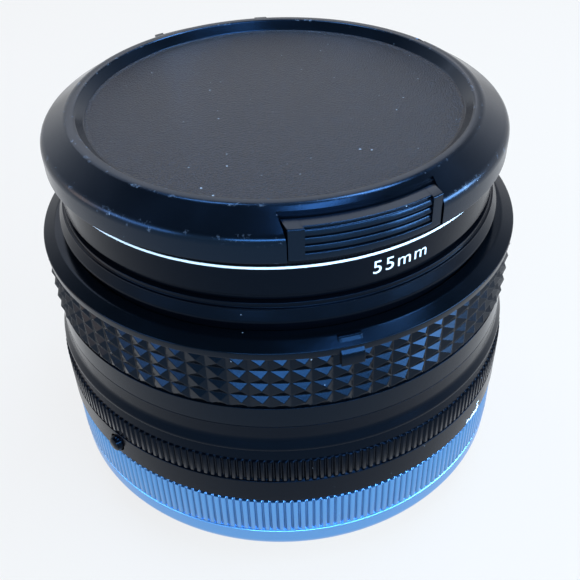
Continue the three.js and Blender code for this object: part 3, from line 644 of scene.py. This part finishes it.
def cap_tab(name, body, angle):
    """Two posts and a ridged panel between them, one moulding with its arm and tooth under the disc."""
    shape = Shape()
    full = [(TAB_INNER, TAB_FOOT), (TAB_OUTER, TAB_FOOT), (TAB_OUTER, TAB_TOP), (TAB_INNER, TAB_TOP)]
    for start, end in ((-TAB_SIDE, -TAB_SIDE + 1.7), (TAB_SIDE - 1.3, TAB_SIDE)):
        shape.sweep(full, angle, start, end, ease=0.2, steps=6)
    web = TAB_OUTER - 0.55
    sill_top = TAB_FOOT + 0.85
    panel = [
        (TAB_INNER, TAB_FOOT),
        (TAB_OUTER, TAB_FOOT),
        (TAB_OUTER, sill_top),
        (web, sill_top + 0.12),
        (web, TAB_TOP - 0.02, 0.12),
        (TAB_INNER, TAB_TOP - 0.02),
    ]
    shape.sweep(panel, angle, -TAB_SIDE + 0.5, TAB_SIDE - 0.5, ease=0.12)
    pitch = (TAB_TOP - 0.2 - sill_top) / 3
    for i in range(3):
        low = sill_top + 0.2 + i * pitch
        reach = TAB_OUTER - 0.1
        ridge = [
            (web - 0.3, low),
            (reach, low + 0.05, 0.14),
            (reach - 0.25, low + 0.62, 0.1),
            (web - 0.3, low + 0.7),
        ]
        shape.sweep(ridge, angle, -TAB_SIDE + 1.5, TAB_SIDE - 1.1, ease=0.05)
    arm_side = 6.0
    throat = TAB_INNER - 1.6
    floor = DISC_UNDER - 1.3
    bridge = [
        (SPIGOT_INNER + 0.2, CAP_FOOT + 0.8),
        (TAB_INNER + 0.3, CAP_FOOT + 0.8),
        (TAB_INNER + 0.3, floor + 1.0),
        (SPIGOT_INNER + 0.2, floor + 1.0),
    ]
    shape.sweep(bridge, angle, -arm_side, arm_side)
    tooth_foot = SPIGOT_FOOT + 0.2
    tooth = [
        (SPIGOT_INNER, tooth_foot),
        (SPIGOT_OUTER - 0.5, tooth_foot),
        (SPIGOT_OUTER - 0.1, tooth_foot + 0.4),
        (SPIGOT_OUTER - 0.1, floor + 0.9),
        (SPIGOT_INNER, floor + 0.9),
    ]
    shape.sweep(tooth, angle, -arm_side, arm_side)
    arm = [
        (SPIGOT_INNER - 8.5, floor),
        (throat, floor),
        (throat, floor + 0.9),
        (SPIGOT_INNER - 8.5, floor + 0.9),
    ]
    shape.sweep(arm, angle, -4.9, 4.9)
    piece = make_piece(name + "_grip", shape, body, scuffed, [name])
    return even_normals(piece)


def rod(shape, radius, start, end, z, angle, ease=0.0, steps=40):
    """A round rod that points away from the axis."""
    turn = math.radians(angle)
    out = Vector((math.cos(turn), math.sin(turn), 0))
    side = Vector((-math.sin(turn), math.cos(turn), 0))
    up = Vector((0, 0, 1))
    rings = [[out * start + up * z]]
    profile = [
        (start, radius),
        (end - ease, radius),
        (end - 0.3 * ease, radius - 0.3 * ease),
        (end, radius - ease),
    ]
    for reach, r in profile:
        spin = (math.tau * i / steps for i in range(steps))
        rings.append([out * reach + side * (r * math.cos(a)) + up * (z + r * math.sin(a)) for a in spin])
    rings.append([out * end + up * z])
    return shape.loft(rings, closed=False)


cap_shell()
for tab_name, (tab_body, tab_angle) in TABS.items():
    cap_tab(tab_name, tab_body, tab_angle)


# ---------- filter ----------
LINE_HEIGHT = FILTER_TOP - 1.15  # painted line round the filter's rim


def filter_rim():
    foot_radius = FILTER_RADIUS - 0.4
    thread = THREAD_RADIUS - 0.3
    ledge = THREAD_RADIUS - 1.2
    foot = FILTER_FOOT - 0.22
    band_top = FILTER_FOOT + 0.55
    outline = [
        (thread, foot),
        (foot_radius, foot),
        (foot_radius, band_top - 0.12),
        (FILTER_RADIUS, band_top + 0.1),
        (FILTER_RADIUS, LINE_HEIGHT - 0.16),
        (FILTER_RADIUS - 0.03, LINE_HEIGHT - 0.15),
        (FILTER_RADIUS - 0.03, LINE_HEIGHT + 0.15),
        (FILTER_RADIUS, LINE_HEIGHT + 0.16),
        (FILTER_RADIUS, LINE_HEIGHT + 0.2),
        (FILTER_RADIUS - 0.22, LINE_HEIGHT + 0.24),
        (FILTER_RADIUS - 0.22, FILTER_TOP),
        (thread, FILTER_TOP),
    ]
    retainer_top = top_of("filter_retainer")
    outline += [(thread, retainer_top + 0.2), (ledge, retainer_top + 0.2), (ledge, foot)]
    outline += [(ledge - 1.4, foot), (ledge - 1.4, FILTER_SKIRT_FOOT)]
    turns = 4
    pitch = (FILTER_FOOT - FILTER_SKIRT_FOOT) / turns  # about 0.75 mm, as on a real filter thread
    for i in range(turns):
        z = FILTER_SKIRT_FOOT + pitch * i
        outline += [(thread - 0.3, z + 0.06), (thread, z + pitch / 2)]
    shape = Shape().turn(outline, ease=0.07)
    piece = make_piece("filter_rim_turning", shape, "filter", anodised, ["filter_frame"])
    repaint(
        piece,
        white_enamel,
        lambda c: abs(c.z - LINE_HEIGHT) < 0.16 and c.xy.length > FILTER_RADIUS - 0.12,
    )
    return even_normals(piece)


def filter_edge_knurl():
    """The fine milled edge that a thumb turns the filter by."""
    shape = ribbed_band(
        Shape(), 400, FILTER_RADIUS, 0.18, FILTER_RADIUS - 0.4, LINE_HEIGHT + 0.22, FILTER_TOP, 0.06, 0.35, 4
    )
    return make_piece("filter_milled_edge", shape, "filter", anodised)


filter_rim()
filter_edge_knurl()
wrap_text(
    "filter_size_mark",
    "55mm",
    FILTER_RADIUS,
    SIZE_MARK_ANGLE,
    FILTER_FOOT + 2.35,
    1.7,
    "filter",
    {"paint": white_enamel, "name": "black_anodised"},
    stretch=1.1,
    spacing=1.18,
)


# ---------- nose ----------
def nose():
    flange = NOSE_TOP - 2.4  # where the hood's bayonet flange starts
    shelf = NOSE_RADIUS + 0.3
    outline = [
        (NOSE_RADIUS, NOSE_FOOT),
        (NOSE_RADIUS, flange - 0.3, 0.25),
        (NOSE_RADIUS + 0.25, flange, 0.05),
        (HOOD_FLANGE_RADIUS, flange, 0.08),
        (HOOD_FLANGE_RADIUS, flange + 0.35, 0.14),
        (shelf, flange + 1.55, 0.3),
        (shelf, NOSE_TOP - 0.75),
        (NOSE_RADIUS, NOSE_TOP - 0.7),
        (NOSE_RADIUS, NOSE_TOP - 0.1),
        (THREAD_RADIUS, NOSE_TOP),
    ]
    turns = 4
    pitch = 3.0 / turns
    for i in range(turns):
        z = NOSE_TOP - pitch * i
        outline += [(THREAD_RADIUS - 0.02, z - 0.1), (THREAD_RADIUS + 0.3, z - pitch / 2)]
    bore = radius_of("lens_tube") + 0.3
    outline += [(THREAD_RADIUS, NOSE_TOP - 3.0), (bore, NOSE_FOOT + 1.6), (bore, NOSE_FOOT)]
    shape = Shape().turn(outline, ease=0.1)
    piece = make_piece("front_nose_turning", shape, "lens_block", anodised, ["front_nose"])
    return even_normals(piece)


nose()


# ---------- focus ring ----------
GRIP_FOOT = FOCUS_FOOT + 2.8
GRIP_TOP = FOCUS_TOP - 1.7
BEVEL_FOOT = FOCUS_TOP - 0.7
GRIP_BORE = GRIP_RADIUS - 2.25


def focus_ring():
    sleeve = GRIP_RADIUS - 0.75
    shape = Shape().turn([
        (DEPTH_RADIUS, FOCUS_FOOT - 0.3 + PARTING, 0.04),
        (DEPTH_RADIUS, GRIP_FOOT, 0.06),
        (sleeve, GRIP_FOOT + 0.03),
        (sleeve, GRIP_TOP - 0.03),
        (GRIP_RADIUS - 0.05, GRIP_TOP, 0.12),
        (GRIP_RADIUS, BEVEL_FOOT, 0.14),
        (GRIP_RADIUS - 1.65, FOCUS_TOP, 0.2),
        (NOSE_RADIUS + 0.3, FOCUS_TOP),
        (NOSE_RADIUS + 0.3, NOSE_FOOT),
        (GRIP_BORE, NOSE_FOOT),
        (GRIP_BORE, FOCUS_FOOT - 0.3 + PARTING),
    ], ease=0.1)
    piece = make_piece("focus_ring_body", shape, "focus", moulded, ["focus_ring"])
    return even_normals(piece)


def focus_grip():
    shape = pyramid_band(
        Shape(), 81, 4, GRIP_RADIUS, GRIP_RADIUS - 0.55, GRIP_RADIUS - 1.2, GRIP_FOOT + 0.04, GRIP_TOP - 0.04
    )
    piece = make_piece(
        "focus_grip_pyramids", shape, "focus", moulded, ["focus_ring"], smooth_angle=14
    )
    bevel = piece.modifiers.new("soft_ridges", "BEVEL")
    bevel.width = 0.05 * MM
    bevel.segments = 2
    bevel.limit_method = "ANGLE"
    bevel.angle_limit = math.radians(12)
    return even_normals(piece)


def index_lug():
    """The small block on the ring's front edge that a finger finds in the dark."""
    half = 1.4
    front = GRIP_RADIUS + 0.45
    outline = [
        (GRIP_RADIUS - 1.5, LUG_TOP - 3.25),
        (front, LUG_TOP - 3.25, 0.1),
        (front, LUG_TOP - 1.8, 0.35),
        (GRIP_RADIUS - 1.0, LUG_TOP - 0.05, 0.2),
        (GRIP_RADIUS - 1.5, LUG_TOP - 0.05),
    ]
    shape = Shape().sweep(outline, LUG_ANGLE, -half, half, ease=0.1, steps=6)
    piece = make_piece("focus_index_lug", shape, "focus", moulded)
    bevel = piece.modifiers.new("soft_edges", "BEVEL")
    bevel.width = 0.16 * MM
    bevel.segments = 3
    bevel.limit_method = "ANGLE"
    bevel.angle_limit = math.radians(50)
    return even_normals(piece)


focus_ring()
focus_grip()
index_lug()


# ---------- rings under the focus ring ----------
def depth_ring():
    shape = Shape().turn([
        (DEPTH_RADIUS + 0.6, DEPTH_FOOT - 0.05, 0.08),
        (DEPTH_RADIUS + 0.6, DEPTH_FOOT + 0.3, 0.15),
        (DEPTH_RADIUS, DEPTH_FOOT + 1.4, 0.4),
        (DEPTH_RADIUS, DEPTH_TOP, 0.04),
        (GRIP_BORE, DEPTH_TOP),
        (GRIP_BORE, DEPTH_FOOT - 0.05),
    ], ease=0.1)
    replaced = ["depth_scale_ring"]
    piece = make_piece("depth_scale_turning", shape, "main_body", anodised, replaced)
    return even_normals(piece)


RIB_FOOT = APERTURE_FOOT + 3.85
RIB_TOP = APERTURE_FOOT + 7.45


def aperture_ring():
    lip = radius_of("main_barrel") - 0.8
    web_foot = APERTURE_FOOT + 0.9
    web_top = web_foot + 1.3
    bore = lip - 1.6
    inner = APERTURE_RADIUS - 2.45
    shape = Shape().turn([
        (APERTURE_RADIUS - 0.1, APERTURE_FOOT, 0.06),
        (APERTURE_RADIUS - 0.02, APERTURE_FOOT + 0.1, 0.06),
        (APERTURE_RADIUS - 0.02, RIB_FOOT - 0.12, 0.08),
        (APERTURE_RADIUS - 0.35, RIB_FOOT),
        (APERTURE_RADIUS - 0.35, RIB_TOP, 0.05),
        (APERTURE_RADIUS - 0.7, APERTURE_TOP - 0.1, 0.25),
        (APERTURE_RADIUS - 1.6, APERTURE_TOP),
        (inner, APERTURE_TOP),
        (inner, web_top),
        (bore, web_top),
        (bore, web_foot),
        (lip, web_foot),
        (lip, APERTURE_FOOT),
    ], ease=0.12)
    replaced = ["aperture_ring"]
    piece = make_piece("aperture_ring_turning", shape, "aperture", anodised, replaced)
    well = Shape()
    rod(well, 1.35, APERTURE_RADIUS - 3.6, APERTURE_RADIUS + 1, BUTTON_HEIGHT, BUTTON_ANGLE)
    cut_away(piece, well)
    return even_normals(piece)


def aperture_ribs():
    shape = ribbed_band(
        Shape(), 220, APERTURE_RADIUS, 0.37, APERTURE_RADIUS - 0.8, RIB_FOOT - 0.05, RIB_TOP + 0.1, 0.3, 0.42
    )
    return make_piece("aperture_ring_ribs", shape, "aperture", anodised)


BUTTON_HEIGHT = (foot_of("lock_button") + top_of("lock_button")) / 2


def lock_button():
    start = APERTURE_RADIUS - 2.25
    shape = rod(Shape(), 1.13, start, APERTURE_RADIUS + 0.78, BUTTON_HEIGHT, BUTTON_ANGLE, ease=0.55)
    return make_piece("lock_button_turning", shape, "button", anodised, ["lock_button"])


def breech_ring():
    bore = BREECH_RADIUS - 3.1
    lip = bore - 0.6
    static = bore - 2.1
    seat_top = top_of("mount_flange")
    shape = Shape().turn([
        (BREECH_RADIUS - 0.6, BREECH_FOOT, 0.3),
        (BREECH_RADIUS - 0.15, BREECH_FOOT + 0.9, 0.5),
        (BREECH_RADIUS - 0.05, BREECH_FOOT + 3.15, 0.12),
        (BREECH_RADIUS - 0.4, BREECH_FOOT + 3.35),
        (BREECH_RADIUS - 0.4, BREECH_TOP - 0.35),
        (BREECH_RADIUS - 0.7, BREECH_TOP, 0.15),
        (lip, BREECH_TOP),
        (lip, BREECH_TOP - 0.3),
        (static, BREECH_TOP - 0.3),
        (static, seat_top + 0.35),
        (bore, seat_top + 0.35),
        (bore, BREECH_FOOT),
    ], ease=0.12)
    for angle in (60, 180, 300):
        lug = [
            (bore - 1.95, BREECH_FOOT + 0.3),
            (bore + 0.8, BREECH_FOOT + 0.3),
            (bore + 0.8, BREECH_FOOT + 2.0),
            (bore - 1.95, BREECH_FOOT + 2.0),
        ]
        side = (bore - 1.95) * math.sin(math.radians(18))
        shape.sweep(lug, angle, -side, side, ease=0.2)
    piece = make_piece("breech_ring_plated", shape, "breech", chrome, ["breech_ring"])
    return even_normals(piece)


def breech_ribs():
    shape = ribbed_band(
        Shape(), 213, BREECH_RADIUS, 0.34, BREECH_RADIUS - 0.8, BREECH_FOOT + 3.3, BREECH_TOP - 0.3, 0.32, 0.5
    )
    return make_piece("breech_ring_ribs", shape, "breech", chrome)


depth_ring()
aperture_ring()
aperture_ribs()
lock_button()
breech_ring()
breech_ribs()


# ---------- pieces inside ----------
def turned_piece(node, outline, body, material, ease=0.1):
    """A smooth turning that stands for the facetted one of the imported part."""
    shape = Shape().turn(outline, ease=ease, steps=180)
    piece = make_piece(node + "_turning", shape, body, material, [node])
    return even_normals(piece)


def inner_rings():
    lens_tube = radius_of("lens_tube")
    tube_bore = lens_tube - 2.1
    front = top_of("lens_tube")
    step = front - 11.8
    turned_piece("lens_tube", [
        (lens_tube, foot_of("lens_tube")),
        (lens_tube, front),
        (tube_bore, front),
        (tube_bore, step),
        (tube_bore - 2.4, step),
        (tube_bore - 2.4, step - 1.2),
        (tube_bore, step - 1.2),
        (tube_bore, foot_of("lens_tube")),
    ], "lens_block", aluminium)
    opening = 15.3
    ring = radius_of("name_ring")
    low = foot_of("name_ring")
    high = top_of("name_ring")
    turned_piece("name_ring", [
        (ring, high - 0.7),
        (ring, high),
        (opening, low + 0.7),
        (opening, low),
    ], "lens_block", anodised, ease=0.06)
    keep = radius_of("filter_retainer")
    low = foot_of("filter_retainer")
    high = top_of("filter_retainer")
    turned_piece("filter_retainer", [
        (keep, low),
        (keep, high),
        (keep - 1.2, high),
        (keep - 1.2, low),
    ], "filter", anodised, ease=0.12)
    seat = radius_of("mount_flange")
    low = foot_of("mount_flange")
    high = top_of("mount_flange")
    piece = turned_piece("mount_flange", [
        (seat, low + 0.7),
        (seat, high),
        (TAIL_RADIUS - 2.5, high),
        (TAIL_RADIUS - 2.5, low + 0.3),
        (TAIL_RADIUS + 0.4, low + 0.3),
        (TAIL_RADIUS + 0.4, low),
        (TAIL_RADIUS + 3.75, low),
        (TAIL_RADIUS + 3.75, low + 0.7),
    ], "main_body", chrome)
    for i in range(1, 5):
        corner = [sum(pair) / 2 / MM for pair in zip(*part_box("mount_screw_%d" % i))]
        head = low + 1.25  # depth of the screw head's seat
        steps = [(1.95, low - 1), (1.95, head), (1.0, head), (1.0, high + 1)]
        hole = [circle(radius, z, 32) for radius, z in steps]
        moved = [[point + Vector((corner[0], corner[1], 0)) for point in ring] for ring in hole]
        cut_away(piece, Shape().loft(moved, closed=False, capped=True))
    turned_piece("rear_tube", [
        (TAIL_RADIUS - 0.4, 0),
        (TAIL_RADIUS, 0.4),
        (TAIL_RADIUS, TAIL_TOP),
        (TAIL_RADIUS - 5.1, TAIL_TOP),
        (TAIL_RADIUS - 5.1, TAIL_TOP - 0.9),
        (TAIL_RADIUS - 2.5, TAIL_TOP - 0.9),
        (TAIL_RADIUS - 2.5, 0),
    ], "main_body", matt_paint, ease=0.15)


def lens(node, body, material, front, rear):
    """A glass element between two spherical faces, each given by its height on the axis and its drop."""
    clear = radius_of(node)
    rings = []
    for height, drop, order in ((rear[0], rear[1], 1), (front[0], front[1], -1)):
        reach = abs(drop)
        curve = (clear**2 + reach**2) / (2 * reach)
        sign = 1 if drop > 0 else -1
        steps = [clear * i / 10 for i in range(11)][::order]
        for r in steps:
            z = height - sign * (curve - math.sqrt(curve**2 - r**2))
            rings.append(circle(r, z, 96) if r > 0 else [Vector((0, 0, z))])
    shape = Shape().loft(rings, closed=False)
    return make_piece(node + "_polished", shape, body, material, [node], smooth_angle=50)


def glasses():
    front = top_of("lens_1")
    lens("lens_1", "lens_block", glass, (front, 3.9), (front - 4.2, 0.6))
    back = foot_of("lens_6")
    crown = top_of("lens_6")
    lens("lens_6", "lens_block", glass, (crown, 0.75), (back, -1.6))
    clear = radius_of("filter_glass")
    low = foot_of("filter_glass")
    high = top_of("filter_glass")
    pane = Shape().turn([(0, low), (clear, low), (clear, high), (0, high)], ease=0.15, steps=180)
    make_piece("filter_glass_polished", pane, "filter", filter_glass, ["filter_glass"])


def finish_the_rest():
    """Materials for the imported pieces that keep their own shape, deep inside the barrel."""
    finishes = {
        anodised: ["main_barrel"],
        matt_paint: ["rear_plate", "front_cell", "rear_cell", "rear_retainer", "iris_housing"],
        glass: ["lens_2", "lens_3", "lens_4", "lens_5"],
        brass: ["helicoid_ring", "iris_ring", "aperture_key", "guide_key_1", "guide_key_2"],
        blued: ["iris_blade_%d" % i for i in range(1, 6)],
        steel: ["signal_lever", "auto_lever", "focus_stop_pin", "speed_pin", "switch_pin"]
        + ["plate_screw_%d" % i for i in range(1, 4)]
        + ["mount_screw_%d" % i for i in range(1, 5)],
    }
    for material, nodes in finishes.items():
        for node in nodes:
            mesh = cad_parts[node].data
            mesh.materials.clear()
            mesh.materials.append(material)


inner_rings()
glasses()
finish_the_rest()


# ---------- scales ----------
def scale_line(name, radius, angle, low, high, width, body, paint):
    """A short filled line along the barrel."""
    outline = [(radius - 0.1, low), (radius + 0.02, low), (radius + 0.02, high), (radius - 0.1, high)]
    shape = Shape().sweep(outline, angle, -width / 2, width / 2, ease=0, steps=2)
    return make_piece(name, shape, body, paint)


def scales():
    white = {"paint": white_enamel, "name": "black_anodised"}
    orange = {"paint": orange_enamel, "name": "black_anodised"}
    stops = ["1.8", "2.8", "4", "5.6", "8", "11", "16", "22"]
    step = 66 / (len(stops) - 1)
    for i, stop in enumerate(stops):
        name = "aperture_mark_" + stop.replace(".", "_")
        angle = INDEX_ANGLE - step * i
        z = APERTURE_FOOT + 1.75
        wrap_text(name, stop, APERTURE_RADIUS - 0.03, angle, z, 1.7, "aperture", white, 0.015)
    foot = DEPTH_FOOT + 1.5
    scale_line(
        "index_line", DEPTH_RADIUS, INDEX_ANGLE, foot, DEPTH_TOP, 0.35, "main_body", orange_enamel
    )
    depths = {"4": 5.5, "8": 11, "11": 15, "16": 21.5, "22": 29}
    for stop, spread in depths.items():
        for side in (-1, 1):
            angle = INDEX_ANGLE + side * spread
            tag = stop + ("_left" if side < 0 else "_right")
            foot = DEPTH_TOP - 0.6
            name = "depth_line_" + tag
            scale_line(name, DEPTH_RADIUS, angle, foot, DEPTH_TOP, 0.2, "main_body", white_enamel)
            name = "depth_mark_" + tag
            wrap_text(name, stop, DEPTH_RADIUS, angle, foot - 0.75, 0.95, "main_body", white, 0.01)
    metres = {"10": 14, "5": 28, "3": 46, "2": 66, "1.5": 82, "1.2": 95, "1": 108, "0.8": 124, "0.6": 140}
    feet = {"30": 15, "15": 30, "10": 45, "7": 62, "5": 80, "4": 94, "3": 113, "2": 137}
    middle = (FOCUS_FOOT + GRIP_FOOT) / 2
    name = "distance_mark_far"  # an 8 laid on its side is the sign for infinity
    wrap_text(name, "8", DEPTH_RADIUS, INDEX_ANGLE, middle, 1.7, "focus", white, 0.02, upright=False)
    for text, turn in metres.items():
        name = "metre_mark_" + text.replace(".", "_")
        angle = INDEX_ANGLE - turn
        wrap_text(name, text, DEPTH_RADIUS, angle, middle - 0.7, 1.0, "focus", white, 0.01)
    for text, turn in feet.items():
        name = "foot_mark_" + text
        angle = INDEX_ANGLE - turn
        wrap_text(name, text, DEPTH_RADIUS, angle, middle + 0.75, 1.0, "focus", orange, 0.01)


def chipped_mark():
    """What is left of a white line at the aperture ring's lower edge, most of its paint chipped off."""
    chance = random.Random(7)
    shape = Shape()
    radius = APERTURE_RADIUS - 0.012
    for i in range(26):
        along = chance.gauss(0, 0.9)
        low = APERTURE_FOOT + 0.3 + abs(chance.gauss(0, 0.55))
        size = chance.uniform(0.16, 0.42)
        flake = []
        for k in range(7):
            turn = math.tau * k / 7
            reach = size * chance.uniform(0.6, 1.1)
            across = math.radians(CHIP_ANGLE) + (along + reach * math.cos(turn)) / radius
            height = low + reach * math.sin(turn) * 0.8
            height = max(height, APERTURE_FOOT + 0.15)
            flake.append((across, height))
        rings = []
        for r in (radius - 0.05, radius + 0.003 * (i % 5)):
            rings.append([Vector((r * math.cos(a), r * math.sin(a), z)) for a, z in flake])
        shape.loft(rings, closed=False, capped=True)
    return make_piece("chipped_white_mark", shape, "aperture", white_enamel)


def mount_dot():
    """The red dot that shows how to set the breech ring on a camera."""
    shape = Shape()
    height = BREECH_FOOT + 1.9
    start = BREECH_RADIUS - 0.35
    rod(shape, 0.85, start, BREECH_RADIUS - 0.01, height, RED_DOT_ANGLE, ease=0.05, steps=28)
    return make_piece("mount_alignment_dot", shape, "breech", red_enamel)


scales()
chipped_mark()
mount_dot()


# ---------- floor, light and camera ----------
def stage_floor():
    mesh = bpy.data.meshes.new("studio_floor")
    reach = 6.0
    corners = [(-reach, -reach, 0), (reach, -reach, 0), (reach, reach, 0), (-reach, reach, 0)]
    mesh.from_pydata(corners, [], [(0, 1, 2, 3)])
    floor = bpy.data.objects.new("studio_floor", mesh)
    bpy.context.scene.collection.objects.link(floor)
    material, tree, _ = new_material("studio_paper_white")
    ray = seen_ray(tree)
    paper = add(tree, "ShaderNodeBsdfDiffuse", {"Color": linear("#B8A99D")})
    glow = add(tree, "ShaderNodeEmission", {"Color": linear("#FFFFFF"), "Strength": 1.0})
    share = add(tree, "ShaderNodeMath", {0: ray, 1: 0.78}, operation="MULTIPLY").outputs[0]
    inputs = {0: share, 1: paper.outputs[0], 2: glow.outputs[0]}
    close(tree, add(tree, "ShaderNodeMixShader", inputs))
    mesh.materials.append(material)


def seen_ray(tree):
    """1 for what the camera sees straight, by reflection or through glass, 0 for light on the object."""
    ray = add(tree, "ShaderNodeLightPath")
    seen = {0: ray.outputs["Is Camera Ray"], 1: ray.outputs["Is Glossy Ray"]}
    seen = add(tree, "ShaderNodeMath", seen, operation="ADD").outputs[0]
    seen = {0: seen, 1: ray.outputs["Is Transmission Ray"]}
    return add(tree, "ShaderNodeMath", seen, operation="ADD", use_clamp=True).outputs[0]


LAMP_DISTANCE = 0.5  # metres from the middle of the lens


def softbox(name, azimuth, elevation, width, height, power, colour):
    """A wide flat lamp that faces the middle of the lens."""
    light = bpy.data.lights.new(name, "AREA")
    light.shape = "RECTANGLE"
    light.size = width
    light.size_y = height
    light.energy = power
    light.color = linear(colour)[:3]
    lamp = bpy.data.objects.new(name, light)
    bpy.context.scene.collection.objects.link(lamp)
    turn = math.radians(azimuth)
    lift = math.radians(elevation)
    out = Vector((math.cos(turn) * math.cos(lift), math.sin(turn) * math.cos(lift), math.sin(lift)))
    lamp.location = Vector((0, 0, 30 * MM)) + out * LAMP_DISTANCE
    lamp.rotation_euler = (-out).to_track_quat("-Z", "Y").to_euler()


def studio_world():
    """A white room with a dim ceiling."""
    world = bpy.data.worlds.new("white_room")
    bpy.context.scene.world = world
    world.use_nodes = True
    tree = world.node_tree
    tree.nodes.clear()
    direction = add(tree, "ShaderNodeTexCoord").outputs["Generated"]
    height = add(tree, "ShaderNodeSeparateXYZ", {0: direction}).outputs["Z"]
    fade = {"Value": height, "From Min": 0.3, "From Max": 0.75, "To Min": 1.0, "To Max": 0.12}
    fade = add(tree, "ShaderNodeMapRange", fade).outputs[0]
    seen = seen_ray(tree)
    strength = add(tree, "ShaderNodeMix", {"Factor": seen, "A": 0.2, "B": fade}, data_type="FLOAT").outputs[0]
    shown = add(tree, "ShaderNodeBackground", {"Color": linear("#FAFBFD"), "Strength": strength})
    add(tree, "ShaderNodeOutputWorld", {"Surface": shown.outputs[0]})


def camera():
    data = bpy.data.cameras.new("camera")
    data.sensor_width = 36
    data.lens = 51.3
    data.clip_start = 0.005
    data.clip_end = 20
    made = bpy.data.objects.new("camera", data)
    bpy.context.scene.collection.objects.link(made)
    made.location = Vector((0, -98.6, 101.8)) * MM
    aim = Vector((1.25, 0, 23.1)) * MM - made.location
    tilt = Quaternion(aim, math.radians(1.87))
    made.rotation_mode = "QUATERNION"
    made.rotation_quaternion = tilt @ aim.to_track_quat("-Z", "Y")
    bpy.context.scene.camera = made


stage_floor()
softbox("window_front", -76, 30, 0.62, 0.09, 4.4, "#A8D6FF")
softbox("window_right", -16, 20, 0.4, 0.13, 5.0, "#B4DCFF")
softbox("window_left", -155, 22, 0.3, 0.12, 1.2, "#B4D6FF")
softbox("window_back", 104, 42, 0.5, 0.26, 0.6, "#F2EEEE")
softbox("skylight_right", -42, 74, 0.16, 0.1, 0.8, "#9CCCFF")
softbox("crest_light", 44, 65, 0.2, 0.08, 1.7, "#A4D2FF")
softbox("skylight_left", 131, 69, 0.12, 0.08, 0.7, "#A4D2FF")
softbox("warm_left", 176, 14, 0.16, 0.16, 0.25, "#FFC79A")
studio_world()
camera()
bpy.context.scene.view_settings.view_transform = "Standard"
